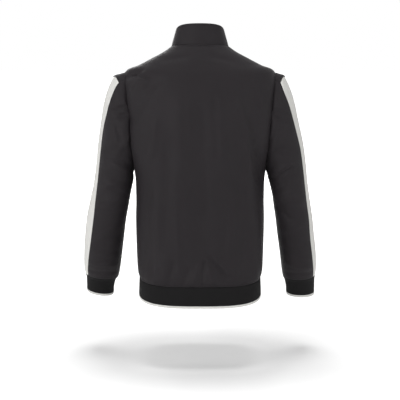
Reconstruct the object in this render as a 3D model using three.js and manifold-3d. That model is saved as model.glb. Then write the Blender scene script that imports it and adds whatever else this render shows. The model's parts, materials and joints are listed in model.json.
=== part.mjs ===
// A zip-up track jacket, filled out as worn with its arms hanging and its zip closed.
// Millimetres, +Z up. The front faces -Y and +X is the wearer's left. The origin is the middle of
// the neck, level with the tops of the shoulders, where a wearer's neck and shoulders hold it.
//
// The body is a tube of rings that run from the hem seam up and over the shoulders to the neck, and
// each sleeve is a tube of rings that fan out from the armhole and follow a slightly bent arm. Every
// piece of cloth is a wall: a patch of one of these surfaces with a thickness laid inwards.

import * as THREE from 'three';
import Module from 'manifold-3d';
import { mergeVertices } from 'three/addons/utils/BufferGeometryUtils.js';

// ---------------------------------------------------------------- driving dimensions

const CLOTH = 1.6; // wall of the body and sleeve cloth
const DOUBLED = 2.4; // wall of the doubled collar, hem band and cuffs
const SEAM = 0.3; // gap between neighbouring pieces

const ZIP_OPENING = 5; // half the distance between the two front edges
const TAPE_REACH = 15; // how far a zip tape reaches from the centre line
const TAPE_EDGE = 1.2; // distance of a tape's inner edge from the centre line
const TAPE_WALL = 0.8;
const CHAIN_REACH = 3.2; // half the width of the closed teeth
const CHAIN_PROUD = 0.2; // how far the teeth stand out of the front surface

const BACK_COLUMNS = 14;
const FRONT_COLUMNS = 6;
const CUFF_COLUMNS = 16;

const ARMHOLE = { low: 0.46, high: 0.74, opening: 22 }; // ring positions of its ends, half-opening in degrees
const CAP = { tip: 2, corner: 1.2, halfAngle: 35, proud: 2.6 }; // rings that its edge reaches, angles in degrees
const SLEEVE_END = 14; // the last sleeve ring, at the cuff seam

const COLOURS = { black: 0x2f2d2f, rib: 0x262426, white: 0xe4e4e0, metal: 0x8d8f92, teeth: 0x1c1c1d };

// ---------------------------------------------------------------- tables of sections

const columns = (names, rows) => rows.map((row) => Object.fromEntries(
  names.split(' ').map((name, index) => [name, row[index]]),
));

// Body rings from the hem seam (at 0) to the neck seam (at 1). The side, back and front heights of a
// ring differ where it climbs over the shoulders; square is the exponent of its superellipse.
const BODY = columns('at halfWidth back front sideZ backZ frontZ square', [
  [0.00, 161, 114, 121, -603, -613.5, -608, 3.4],
  [0.03, 165, 118, 126, -590, -599, -594, 3.2],
  [0.12, 168, 112, 124, -541, -545, -541, 2.9],
  [0.24, 170, 109, 123, -458, -460, -460, 2.6],
  [0.36, 169, 113, 127, -388, -386, -388, 2.45],
  [0.46, 173, 120, 131, -320, -315, -318, 2.4],
  [0.55, 196, 124, 134, -243, -236, -246, 2.5],
  [0.63, 205, 123, 132, -168, -163, -195, 2.55],
  [0.70, 201, 116, 126, -104, -104, -152, 2.5],
  [0.74, 193, 107, 119, -68, -72, -130, 2.45],
  [0.82, 161, 93, 107, -55, -43, -113, 2.35],
  [0.89, 129, 81, 95, -40, -22, -99, 2.25],
  [0.95, 98, 71, 84, -24, -6, -84, 2.15],
  [1.00, 75, 64, 76, -8, 6, -72, 2.1],
]);

const COLLAR = columns('at halfWidth back front sideZ backZ frontZ square', [
  [0.00, 75, 64, 76, -8, 6, -72, 2.1],
  [0.35, 70, 60, 74, 10, 26, -50, 2.1],
  [0.75, 65, 54, 72, 27, 47, -28, 2.1],
  [1.00, 62, 51, 71, 37, 61, -14, 2.1],
]);

const HEM = columns('at halfWidth back front sideZ backZ frontZ square', [
  [0.00, 163, 118, 125, -657, -669.5, -662, 3.2],
  [0.12, 163, 118, 125, -650, -662.5, -655, 3.2],
  [0.60, 162, 117, 124, -625, -638, -631, 3.3],
  [1.00, 161, 114, 121, -603, -613.5, -608, 3.4],
]);
const TRIM_SHARE = 0.11; // the part of the hem band's height that is tipping

// Sleeve rings: the outermost and the underarm point of each, half its front-to-back depth, how far
// its middle lies behind the body's, and how far its plane tips with the bent forearm, in degrees.
const SLEEVE = columns('at outerX outerZ innerX innerZ halfDepth centreY bend', [
  [0, 194, -66, 174, -318, 72, 0, 0],
  [1, 210, -71, 174, -322, 73, 0, 0],
  [2, 224.5, -80, 174.5, -326, 74, 0, 0],
  [3, 240, -112, 175, -330, 73, 0, 0],
  [4, 251, -150, 175.5, -334, 71, 0, 0],
  [5, 259, -197, 175, -339, 69, 0, 0],
  [6, 267, -252, 175, -348, 66, 0, 0],
  [7, 273, -306, 178.5, -365, 63, 0, 0],
  [8, 281, -358, 184, -391, 61, -2, 2],
  [9, 292, -406, 190, -424, 59, -6, 4],
  [10, 302, -452, 197, -460, 57, -13, 5],
  [11, 309, -506, 204, -510, 55, -25, 6],
  [12, 313.5, -557, 211, -561, 52, -37, 6],
  [13, 315, -595, 217, -601, 48, -47, 6],
  [14, 312.5, -616, 222, -625, 43, -53, 6],
]);

const CUFF = columns('at outerX outerZ innerX innerZ halfDepth centreY bend', [
  [0, 312.5, -616, 222, -625, 43, -53, 6],
  [0.15, 310, -625, 230, -635, 39, -56, 5],
  [0.6, 310, -647, 236, -658, 37, -62, 4],
  [0.87, 310.5, -662, 237, -673, 36.5, -66, 4],
  [1, 311, -669, 238, -680, 36.5, -67, 4],
]);
const CUFF_TRIM_SHARE = 0.11;

// The right arm hangs a little differently: how much further out, up and out its outermost line and
// its underarm line lie than the left arm's, mirrored.
const RIGHT_SLEEVE = columns('at outer outerZ inner', [
  [0, 0, 0, 0],
  [2, -4, 0, 0],
  [4, -3.5, 0, 1.2],
  [5, -1, 0, 3],
  [6, 3.5, 0, 5],
  [7, 5.5, 0, 6.5],
  [8, 3.5, 0, 7],
  [9, 0, 0, 6],
  [10.5, -2.5, 0, 4.5],
  [12, 0, 0, 5.5],
  [14, 1.5, -6, 4],
]);
const RIGHT_CUFF = columns('at outer outerZ inner', [
  [0, 1.5, -6, 4],
  [0.15, 3, -8, 1],
  [0.6, 3.5, -10, 0],
  [1, 3.5, -11, 0],
]);

// The off-white panel's two edges, as angles round the sleeve from its outermost line.
const PANEL_EDGES = columns('at backLeft backRight frontEdge', [
  [1.2, 35, 35, -35],
  [2, 39, 42, -35],
  [3, 41, 43.5, -34],
  [4, 41, 43, -34],
  [5, 36.5, 40, -34],
  [6, 36.5, 37.5, -34],
  [7, 36.5, 37.5, -34],
  [8, 39.5, 36.5, -34],
  [9, 46.5, 38.5, -33],
  [10, 51.5, 39.5, -33],
  [11, 49.5, 42, -32],
  [12, 44.5, 40.5, -33],
  [14, 36, 30, -34],
]);

// The largest folds, as lines seen from behind or from the front: two ends, half-width and depth.
// A positive depth is a ridge and a negative one a trough.
const BACK_FOLDS = columns('x1 z1 x2 z2 width depth', [
  [52, -170, 46, -360, 22, 5],
  [-52, -190, -84, -480, 22, 5],
  [10, -250, -8, -500, 26, -4],
  [126, -92, 172, -170, 16, -5],
  [-136, -150, -158, -320, 20, -7],
  [-122, -240, -148, -560, 18, 6],
  [118, -420, 92, -590, 20, 5],
  [135, -380, 128, -560, 18, -5],
  [-30, -560, -80, -608, 16, -4],
]);
const FRONT_FOLDS = columns('x1 z1 x2 z2 width depth', [
  [128, -150, 92, -330, 22, -6],
  [-130, -160, -96, -350, 22, -6],
  [60, -300, 70, -560, 24, 4],
  [-66, -330, -60, -580, 24, 4],
]);
const SLEEVE_FOLDS = columns('x1 z1 x2 z2 width depth', [
  [190, -165, 262, -178, 13, -5],
  [184, -270, 225, -262, 14, -5],
  [190, -352, 228, -330, 12, -5],
  [192, -395, 260, -402, 14, 4],
  [200, -500, 285, -520, 16, -4],
]);

// ---------------------------------------------------------------- surfaces

/** A column of a table at any position, as a smooth curve through its rows. */
function smooth(rows, key, at) {
  const last = rows.length - 1;
  let index = 0;
  while (index < last - 1 && at > rows[index + 1].at) index += 1;
  const slope = (row) => {
    const low = rows[Math.max(row - 1, 0)];
    const high = rows[Math.min(row + 1, last)];
    return (high[key] - low[key]) / (high.at - low.at);
  };
  const span = rows[index + 1].at - rows[index].at;
  const t = (at - rows[index].at) / span;
  const rise = t * t * (3 - 2 * t);
  const startPull = t * (1 - t) * (1 - t) * span * slope(index);
  const endPull = t * t * (t - 1) * span * slope(index + 1);
  return rows[index][key] * (1 - rise) + rows[index + 1][key] * rise + startPull + endPull;
}

const radians = (degrees) => THREE.MathUtils.degToRad(degrees);

/** A point on a ring; the angle is 0 at the centre back, 90 at the wearer's left, 180 at the front. */
function ringPoint(rows, at, degrees) {
  const sine = Math.sin(radians(degrees));
  const cosine = Math.cos(radians(degrees));
  const depth = smooth(rows, cosine > 0 ? 'back' : 'front', at);
  const width = smooth(rows, 'halfWidth', at);
  const power = smooth(rows, 'square', at);
  const reach = (Math.abs(sine / width) ** power + Math.abs(cosine / depth) ** power) ** (-1 / power);
  const lean = (cosine * reach) / depth;
  const sideZ = smooth(rows, 'sideZ', at);
  const back = smooth(rows, 'backZ', at) - sideZ;
  const front = smooth(rows, 'frontZ', at) - sideZ;
  const z = sideZ + (lean * (back - front)) / 2 + (lean * lean * (back + front)) / 2;
  return new THREE.Vector3(sine * reach, cosine * reach, z);
}

/** How far the folds of a list lift a point: each is a bell across its line, faded at its ends. */
function foldLift(folds, x, z) {
  return folds.reduce((sum, { x1, z1, x2, z2, width, depth }) => {
    const length = Math.hypot(x2 - x1, z2 - z1);
    const run = ((x - x1) * (x2 - x1) + (z - z1) * (z2 - z1)) / length;
    const across = ((x - x1) * (z2 - z1) - (z - z1) * (x2 - x1)) / length;
    const beyond = Math.max(-run, run - length, 0);
    return sum + depth * Math.exp(-((across / width) ** 2) - (beyond / (2 * width)) ** 2);
  }, 0);
}

/** The outward normal of a surface, from its differences a small step to either side. */
function normalOf(surface, a, b, stepA, stepB, limits) {
  const lowA = Math.max(a - stepA, limits[0]);
  const highA = Math.min(a + stepA, limits[1]);
  const alongA = surface(highA, b).sub(surface(lowA, b));
  const alongB = surface(a, b + stepB).sub(surface(a, b - stepB));
  return alongA.cross(alongB).normalize();
}

const plainBody = (at, degrees) => ringPoint(BODY, at, degrees);

/** How much of the folds shows: none at the seams at either end of the body. */
const foldShare = (at) => THREE.MathUtils.smoothstep(at, 0, 0.06) * (1 - THREE.MathUtils.smoothstep(at, 0.9, 1));

function bodyPoint(at, degrees) {
  const point = plainBody(at, degrees);
  const folds = Math.abs(degrees) < 90 ? BACK_FOLDS : FRONT_FOLDS;
  const edge = Math.abs(Math.cos(radians(degrees)));
  const lift = foldLift(folds, point.x, point.z) * foldShare(at) * THREE.MathUtils.smoothstep(edge, 0.1, 0.4);
  return point.addScaledVector(normalOf(plainBody, at, degrees, 0.004, 0.5, [0, 1]), lift);
}
const bodyNormal = (at, degrees) => normalOf(bodyPoint, at, degrees, 0.004, 0.5, [0, 1]);

/** A point on a sleeve ring before it is joined to the armhole; the angle is 0 outermost, 90 behind. */
function armPoint(rows, at, degrees) {
  const row = Object.fromEntries(Object.keys(rows[0]).map((key) => [key, smooth(rows, key, at)]));
  const outwards = new THREE.Vector3((row.outerX - row.innerX) / 2, 0, (row.outerZ - row.innerZ) / 2);
  const bend = radians(row.bend);
  const backwards = new THREE.Vector3(0, Math.cos(bend), -Math.sin(bend)).multiplyScalar(row.halfDepth);
  return new THREE.Vector3((row.outerX + row.innerX) / 2, row.centreY, (row.outerZ + row.innerZ) / 2)
    .addScaledVector(outwards, Math.cos(radians(degrees)))
    .addScaledVector(backwards, Math.sin(radians(degrees)));
}

/** The armhole's edge on the body: an oval round the side line, from the shoulder tip to the underarm. */
const armholeAt = (degrees) => {
  const middle = (ARMHOLE.low + ARMHOLE.high) / 2;
  return middle + ((ARMHOLE.high - ARMHOLE.low) / 2) * Math.cos(radians(degrees));
};
const armholeAngle = (degrees) => 90 - ARMHOLE.opening * Math.sin(radians(degrees));

/** A side's armhole, as a point on the wearer's left. */
function armholePoint(side, degrees) {
  const point = bodyPoint(armholeAt(degrees), side * armholeAngle(degrees));
  return point.setX(side * point.x);
}

/** A sleeve on the wearer's left. Its first ring is its side's armhole, fading over four rings. */
const sleeveOf = (side) => (at, degrees) => {
  const point = armPoint(SLEEVE, at, degrees);
  const fade = 1 - THREE.MathUtils.smoothstep(at, 0, 4);
  const join = armholePoint(side, degrees).sub(armPoint(SLEEVE, 0, degrees));
  const lift = foldLift(SLEEVE_FOLDS, point.x, point.z) * THREE.MathUtils.smoothstep(at, 0, 2)
    * Math.abs(Math.sin(radians(degrees))) * (1 - THREE.MathUtils.smoothstep(at, SLEEVE_END - 1, SLEEVE_END));
  const away = new THREE.Vector3(0, Math.sign(Math.sin(radians(degrees))), 0);
  return point.addScaledVector(join, fade).addScaledVector(away, lift);
};

/** A left arm's surface, or the right arm's: its outer and underarm lines moved, then mirrored. */
const onSide = (side, surface, shifts) => (at, degrees) => {
  const point = surface(at, degrees);
  if (side > 0) return point;
  const outerShare = (1 + Math.cos(radians(degrees))) / 2;
  const outwards = smooth(shifts, 'outer', at) * outerShare + smooth(shifts, 'inner', at) * (1 - outerShare);
  return point.set(-point.x - outwards, point.y, point.z + smooth(shifts, 'outerZ', at) * outerShare);
};

// ---------------------------------------------------------------- walls of cloth

/** Moves each edge of a grid of points inwards by half a seam's gap. */
function openSeams(grid, closedRound) {
  const half = SEAM / 2 + 0.03;
  const rows = grid.length;
  const count = grid[0].length;
  const pulled = grid.map((row) => row.map((point) => point.clone()));
  const pull = (i, j, ni, nj) => {
    const inwards = grid[ni][nj].clone().sub(grid[i][j]).normalize();
    pulled[i][j].addScaledVector(inwards, half);
  };
  for (let j = 0; j < count; j += 1) {
    pull(0, j, 1, j);
    pull(rows - 1, j, rows - 2, j);
  }
  for (let i = 0; i < rows && !closedRound; i += 1) {
    pull(i, 0, i, 1);
    pull(i, count - 1, i, count - 2);
  }
  return pulled;
}

/** A closed wall: the grid of outer points, the same points moved in along the normals, and a rim. */
function wall(outerGrid, normals, thickness, { closedRound = false, sunk = 0 } = {}) {
  const opened = openSeams(outerGrid, closedRound);
  const outer = opened.map((row, i) => row.map((point, j) => point.clone().addScaledVector(normals[i][j], -sunk)));
  const inner = outer.map((row, i) => row.map((point, j) => point.clone().addScaledVector(normals[i][j], -thickness)));
  const rows = outer.length;
  const count = outer[0].length;
  const positions = [];
  const quad = (a, b, c, d) => {
    for (const point of [a, b, c, a, c, d]) positions.push(point.x, point.y, point.z);
  };
  const spans = closedRound ? count : count - 1;
  for (let i = 0; i < rows - 1; i += 1) {
    for (let j = 0; j < spans; j += 1) {
      const next = (j + 1) % count;
      quad(outer[i][j], outer[i][next], outer[i + 1][next], outer[i + 1][j]);
      quad(inner[i][j], inner[i + 1][j], inner[i + 1][next], inner[i][next]);
    }
    if (!closedRound) {
      quad(outer[i][0], outer[i + 1][0], inner[i + 1][0], inner[i][0]);
      quad(outer[i + 1][count - 1], outer[i][count - 1], inner[i][count - 1], inner[i + 1][count - 1]);
    }
  }
  for (let j = 0; j < spans; j += 1) {
    const next = (j + 1) % count;
    quad(outer[0][next], outer[0][j], inner[0][j], inner[0][next]);
    quad(outer[rows - 1][j], outer[rows - 1][next], inner[rows - 1][next], inner[rows - 1][j]);
  }
  return facingOut(positions);
}

/** A geometry from loose triangles, turned over if its volume comes out negative. */
function facingOut(positions) {
  const geometry = new THREE.BufferGeometry();
  geometry.setAttribute('position', new THREE.Float32BufferAttribute(positions, 3));
  const merged = mergeVertices(geometry, 1e-4);
  const place = merged.getAttribute('position');
  const corner = (index) => new THREE.Vector3().fromBufferAttribute(place, index);
  const faces = merged.getIndex().array;
  let volume = 0;
  for (let i = 0; i < faces.length; i += 3) {
    volume += corner(faces[i]).dot(corner(faces[i + 1]).cross(corner(faces[i + 2])));
  }
  if (volume < 0) {
    for (let i = 0; i < faces.length; i += 3) [faces[i + 1], faces[i + 2]] = [faces[i + 2], faces[i + 1]];
  }
  return merged;
}

const spread = (from, to, count) => Array.from({ length: count + 1 }, (_, i) => from + ((to - from) * i) / count);

/** Samples a surface at rows of (at, angle) pairs and returns the points and the normals. */
function sample(surface, rows, limits, stepAt = 0.02) {
  const points = rows.map((row) => row.map(([at, degrees]) => surface(at, degrees)));
  const normals = rows.map((row) => row.map(([at, degrees]) => normalOf(surface, at, degrees, stepAt, 0.5, limits)));
  return { points, normals };
}

const part = new THREE.Group();

function add(name, geometry, colour, { metalness = 0, roughness = 0.85 } = {}, parent = part) {
  const material = new THREE.MeshStandardMaterial({ color: colour, roughness, metalness });
  const mesh = new THREE.Mesh(geometry, material);
  mesh.name = name;
  parent.add(mesh);
}

// ---------------------------------------------------------------- body: back and fronts

// The angles round the armhole at which body and sleeve share their points.
const capAngles = spread(0, CAP.halfAngle, 2);
const restAngles = spread(CAP.halfAngle, 180, 8);
const halfRound = [...capAngles, ...restAngles.slice(1)];

const lowerRows = [0, 0.03, 0.1, 0.19, 0.28, 0.37];
const armholeRows = halfRound.map(armholeAt).reverse();
const shoulderRows = [0.8, 0.87, 0.94, 1];
const bodyRows = [...lowerRows, ...armholeRows, ...shoulderRows];

/** The angle at which the back or a front ends at the side: the side seam, or the armhole's edge. */
function sideAngle(at, behind) {
  const middle = (ARMHOLE.low + ARMHOLE.high) / 2;
  const share = THREE.MathUtils.clamp((at - middle) / ((ARMHOLE.high - ARMHOLE.low) / 2), -1, 1);
  const opening = ARMHOLE.opening * Math.sqrt(1 - share * share);
  return behind ? 90 - opening : 90 + opening;
}

/** The angle of a front edge, a fixed distance from the centre line. */
const frontEdge = (rows, at, distance) => 180 - THREE.MathUtils.radToDeg(
  Math.atan(distance / smooth(rows, 'front', at)),
);

const sleeves = { left: onSide(1, sleeveOf(1)), right: onSide(-1, sleeveOf(-1), RIGHT_SLEEVE) };
const sleeveNormal = (side, at, degrees) => {
  const normal = normalOf(sleeves[side], at, degrees, 0.05, 1, [0, SLEEVE_END]);
  return side === 'left' ? normal : normal.negate();
};

/** At the armhole seam, body and sleeve share one normal halfway between theirs. */
function armholeNormal(side, degrees) {
  const sign = side === 'left' ? 1 : -1;
  const body = bodyNormal(armholeAt(degrees), sign * armholeAngle(degrees));
  return body.add(sleeveNormal(side, 0, degrees)).normalize();
}

/** Gives a body panel the shared normals where its edge column runs along an armhole. */
function shareArmhole(normals, column, side, behind) {
  armholeRows.forEach((_, index) => {
    const degrees = [...halfRound].reverse()[index];
    normals[lowerRows.length + index][column] = armholeNormal(side, behind ? degrees : -degrees);
  });
}

function buildBody() {
  const backRows = bodyRows.map((at) => {
    const edge = sideAngle(at, true);
    return spread(-edge, edge, BACK_COLUMNS).map((degrees) => [at, degrees]);
  });
  const back = sample(bodyPoint, backRows, [0, 1], 0.004);
  shareArmhole(back.normals, 0, 'right', true);
  shareArmhole(back.normals, BACK_COLUMNS, 'left', true);
  add('back', wall(back.points, back.normals, CLOTH), COLOURS.black);

  for (const [side, sign] of [['left', 1], ['right', -1]]) {
    const rows = bodyRows.map((at) => {
      const plain = spread(sideAngle(at, false), frontEdge(BODY, at, TAPE_REACH), FRONT_COLUMNS);
      return [...plain, frontEdge(BODY, at, ZIP_OPENING)].map((degrees) => [at, sign * degrees]);
    });
    const front = sample(bodyPoint, rows, [0, 1], 0.004);
    shareArmhole(front.normals, 0, side, false);
    add(`front_${side}`, wall(front.points, front.normals, CLOTH), COLOURS.black);
  }
}

// ---------------------------------------------------------------- collar, hem band and tipping

/** A strip of one ring surface, from one front edge round the back to the other. */
function buildStrip(name, table, levels, colour, count) {
  const rows = levels.map((at) => {
    const edge = frontEdge(table, at, ZIP_OPENING);
    const tapeLine = frontEdge(table, at, TAPE_REACH);
    return [-edge, ...spread(-tapeLine, tapeLine, count), edge].map((degrees) => [at, degrees]);
  });
  const { points, normals } = sample((at, degrees) => ringPoint(table, at, degrees), rows, [0, 1]);
  add(name, wall(points, normals, DOUBLED), colour);
}

function buildStrips() {
  buildStrip('collar', COLLAR, [0.003, 0.33, 0.67, 1], COLOURS.black, 20);
  buildStrip('hem_band', HEM, spread(TRIM_SHARE, 1, 3), COLOURS.rib, 24);
  buildStrip('hem_trim', HEM, [0, TRIM_SHARE], COLOURS.white, 24);
}

// ---------------------------------------------------------------- sleeves

/** The sleeve ring that the cap's lower edge reaches at an angle: its tip outermost, its corners lower. */
const capEdge = (degrees) => CAP.tip - (CAP.tip - CAP.corner) * Math.abs(degrees / CAP.halfAngle);

const panelEdge = (key, at) => (at < CAP.corner ? PANEL_EDGES[0][key] : smooth(PANEL_EDGES, key, at));

function buildSleeve(side) {
  const surface = sleeves[side];
  const backKey = side === 'left' ? 'backLeft' : 'backRight';
  const longRows = [CAP.corner, 2, 3, 4, 5.5, 7, 8, 9, 10.5, 12, 13.2, SLEEVE_END];
  const normalFor = (at, degrees) => (at < 0.01 ? armholeNormal(side, degrees) : sleeveNormal(side, at, degrees));
  const patch = (name, rows, colour, lifted = () => 0) => {
    const normals = rows.map((row) => row.map(([at, degrees]) => normalFor(at, degrees)));
    const points = rows.map((row, i) => row.map(([at, degrees], j) => surface(at, degrees)
      .addScaledVector(normals[i][j], lifted(at, degrees))));
    add(`${name}_${side}`, wall(points, normals, CLOTH), colour);
  };

  // The cap swells towards its lower edge, which stands proud of the off-white panel below it.
  const capColumns = [...capAngles.slice(1).reverse().map((degrees) => -degrees), ...capAngles];
  const capRows = spread(0, 1, 4).map((share) => capColumns.map((degrees) => [share * capEdge(degrees), degrees]));
  const swell = (at, degrees) => {
    const across = Math.cos((Math.PI / 2) * (degrees / CAP.halfAngle));
    return CAP.proud * THREE.MathUtils.smoothstep(at / capEdge(degrees), 0.3, 1) * across;
  };
  patch('sleeve_cap', capRows, COLOURS.rib, swell);

  const panelRows = longRows.map((at) => {
    const share = (at - CAP.corner) / (SLEEVE_END - CAP.corner);
    return spread(-1, 1, 4).map((across) => {
      const start = capEdge(across * CAP.halfAngle);
      const ring = start + share * (SLEEVE_END - start);
      const middle = (panelEdge(backKey, at) + panelEdge('frontEdge', at)) / 2;
      const half = (panelEdge(backKey, at) - panelEdge('frontEdge', at)) / 2;
      return [ring, middle + half * across];
    });
  });
  patch('sleeve_stripe', panelRows, COLOURS.white);

  const besideCap = [0, 0.4, 0.8];
  const sideRows = [...besideCap, ...longRows];
  const shares = restAngles.map((degrees) => (degrees - CAP.halfAngle) / (180 - CAP.halfAngle));
  patch('sleeve_back', sideRows.map((at) => {
    const edge = panelEdge(backKey, at);
    return shares.map((share) => [at, edge + share * (180 - edge)]);
  }), COLOURS.black);
  patch('sleeve_front', sideRows.map((at) => {
    const edge = panelEdge('frontEdge', at);
    return shares.map((share) => [at, edge + share * (-180 - edge)]);
  }), COLOURS.black);
}

/** A closed tube of the cuff's rings between two shares of its length. */
function buildCuffTube(name, side, levels, colour) {
  const sign = side === 'left' ? 1 : -1;
  const surface = onSide(sign, (at, degrees) => armPoint(CUFF, at, degrees), RIGHT_CUFF);
  const turns = spread(0, 360, CUFF_COLUMNS).slice(0, -1);
  const rows = levels.map((at) => turns.map((degrees) => [at, degrees]));
  const { points, normals } = sample(surface, rows, [0, 1]);
  if (side === 'right') normals.flat().forEach((normal) => normal.negate());
  add(`${name}_${side}`, wall(points, normals, DOUBLED, { closedRound: true }), colour);
}

// ---------------------------------------------------------------- zip

/** The centre front from the hem's lower edge to the collar's top: surface tables and positions. */
const frontStations = [
  ...spread(0, 1, 3).map((at) => [HEM, at]),
  ...[0.03, 0.1, 0.19, 0.28, 0.37, 0.5, 0.6, 0.7, 0.8, 0.87, 0.94].map((at) => [BODY, at]),
  ...spread(0, 1, 6).map((at) => [COLLAR, at]),
];

/** A point on the front a given distance from the centre line, and the outward normal there. */
function frontPoint([table, at], x) {
  const surface = (level, degrees) => (table === BODY ? bodyPoint(level, degrees) : ringPoint(table, level, degrees));
  const degrees = Math.sign(x) * frontEdge(table, at, Math.abs(x));
  const low = surface(Math.max(at - 0.02, 0), degrees);
  const high = surface(Math.min(at + 0.02, 1), degrees);
  const up = high.sub(low).normalize();
  const across = ringPoint(table, at, degrees + 1).sub(ringPoint(table, at, degrees - 1)).normalize();
  return { point: surface(at, degrees), normal: up.clone().cross(across).normalize(), up };
}

/** A flat strip along the zip between two distances from the centre line. */
function buildZipStrip(name, stations, reach, sunk, thickness, colour, finish) {
  const samples = stations.map((station) => reach.map((x) => frontPoint(station, x)));
  const points = samples.map((row) => row.map((entry) => entry.point));
  const normals = samples.map((row) => row.map((entry) => entry.normal));
  add(name, wall(points, normals, thickness, { sunk }), colour, finish);
}

const TAPE_SUNK = DOUBLED + 1.5 * SEAM; // the tapes lie behind the thickest cloth
const SLIDER = { width: 9, length: 12, plate: 1.6, neckWidth: 1.8, neckLength: 5, collarAt: 0.8 };
const CHAIN_TOP = SLIDER.collarAt - 0.01; // the teeth end under the slider's front plate, below its neck
const BRIDGE = { width: 2, length: 8, height: 3.4, beam: 1.1 };
const TAB = { width: 7, length: 27, wall: 1.5, eyeWidth: 3.2, eyeLength: 4.4, bar: 1.5 };

const MetalFinish = { metalness: 0.8, roughness: 0.4 };

function roundedShape(width, low, high, radius) {
  const shape = new THREE.Shape();
  const half = width / 2;
  shape.moveTo(-half + radius, low);
  shape.lineTo(half - radius, low);
  shape.quadraticCurveTo(half, low, half, low + radius);
  shape.lineTo(half, high - radius);
  shape.quadraticCurveTo(half, high, half - radius, high);
  shape.lineTo(-half + radius, high);
  shape.quadraticCurveTo(-half, high, -half, high - radius);
  shape.lineTo(-half, low + radius);
  shape.quadraticCurveTo(-half, low, -half + radius, low);
  return shape;
}

/** An outline in the zip's own plane (x across, y up the zip) given a thickness outwards from a level. */
function plate(shape, level, thickness) {
  const geometry = new THREE.ExtrudeGeometry(shape, { depth: thickness, bevelEnabled: false, curveSegments: 4 });
  return geometry.translate(0, 0, level);
}

function box(width, low, high, level, thickness) {
  const geometry = new THREE.BoxGeometry(width, high - low, thickness);
  return geometry.translate(0, (low + high) / 2, level + thickness / 2);
}

const wasm = await Module();
wasm.setup();

function solidOf(geometry) {
  const bare = new THREE.BufferGeometry();
  bare.setAttribute('position', geometry.getAttribute('position').clone());
  if (geometry.getIndex()) bare.setIndex(geometry.getIndex().clone());
  const merged = mergeVertices(bare, 1e-4);
  return new wasm.Manifold(new wasm.Mesh({
    numProp: 3,
    vertProperties: new Float32Array(merged.getAttribute('position').array),
    triVerts: new Uint32Array(merged.getIndex().array),
  }));
}

function geometryOf(solid) {
  const mesh = solid.getMesh();
  const geometry = new THREE.BufferGeometry();
  geometry.setAttribute('position', new THREE.BufferAttribute(new Float32Array(mesh.vertProperties), 3));
  geometry.setIndex(new THREE.BufferAttribute(new Uint32Array(mesh.triVerts), 1));
  return geometry;
}

const joined = (pieces) => geometryOf(pieces.map(solidOf).reduce((sum, piece) => sum.add(piece)));

/** A group placed on the front at a station, with x across, y up the zip and z outwards. */
function zipGroup(station) {
  const { point, normal, up } = frontPoint(station, 0.01);
  const group = new THREE.Group();
  const across = new THREE.Vector3(1, 0, 0);
  const outwards = new THREE.Vector3(0, normal.y, normal.z).normalize();
  const upwards = outwards.clone().cross(across).normalize();
  if (upwards.dot(up) < 0) throw new Error('the zip points down');
  group.quaternion.setFromRotationMatrix(new THREE.Matrix4().makeBasis(across, upwards, outwards));
  group.position.set(0, point.y, point.z);
  part.add(group);
  return group;
}

/** The slider: a plate before the teeth, one behind the tapes, the neck between and a bridge. */
function buildSlider(group) {
  const half = SLIDER.length / 2;
  const front = CHAIN_PROUD + SEAM;
  const behind = -(TAPE_SUNK + TAPE_WALL + SEAM);
  const crown = front + SLIDER.plate;
  const postHigh = BRIDGE.length / 2;
  const pieces = [
    plate(roundedShape(SLIDER.width, -half, half, 2.2), front, SLIDER.plate),
    plate(roundedShape(SLIDER.width - 1, -half, half, 2), behind - SLIDER.plate, SLIDER.plate),
    box(SLIDER.neckWidth, half - SLIDER.neckLength, half, behind - 0.2, front - behind + 0.4),
    box(BRIDGE.width, -postHigh, -postHigh + BRIDGE.beam, crown - 0.2, BRIDGE.height + 0.2),
    box(BRIDGE.width, postHigh - BRIDGE.beam, postHigh, crown - 0.2, BRIDGE.height + 0.2),
    box(BRIDGE.width, -postHigh, postHigh, crown + BRIDGE.height - BRIDGE.beam, BRIDGE.beam),
  ];
  add('zip_slider', joined(pieces), COLOURS.metal, MetalFinish, group);
}

/** The pull tab: a flat plate with an eye whose upper bar lies under the slider's bridge. */
function buildTab(group) {
  const barMiddle = CHAIN_PROUD + SEAM + SLIDER.plate + (BRIDGE.height - BRIDGE.beam) / 2;
  const top = TAB.bar / 2;
  const outline = roundedShape(TAB.width, top - TAB.length, top, 1.8);
  const eye = new THREE.Path();
  const eyeHalf = TAB.eyeWidth / 2;
  const eyeTop = top - TAB.bar;
  eye.moveTo(-eyeHalf, eyeTop);
  eye.lineTo(-eyeHalf, eyeTop - TAB.eyeLength);
  eye.lineTo(eyeHalf, eyeTop - TAB.eyeLength);
  eye.lineTo(eyeHalf, eyeTop);
  outline.holes.push(eye);
  add('pull_tab', plate(outline, barMiddle - TAB.wall / 2, TAB.wall), COLOURS.metal, MetalFinish, group);
}

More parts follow.
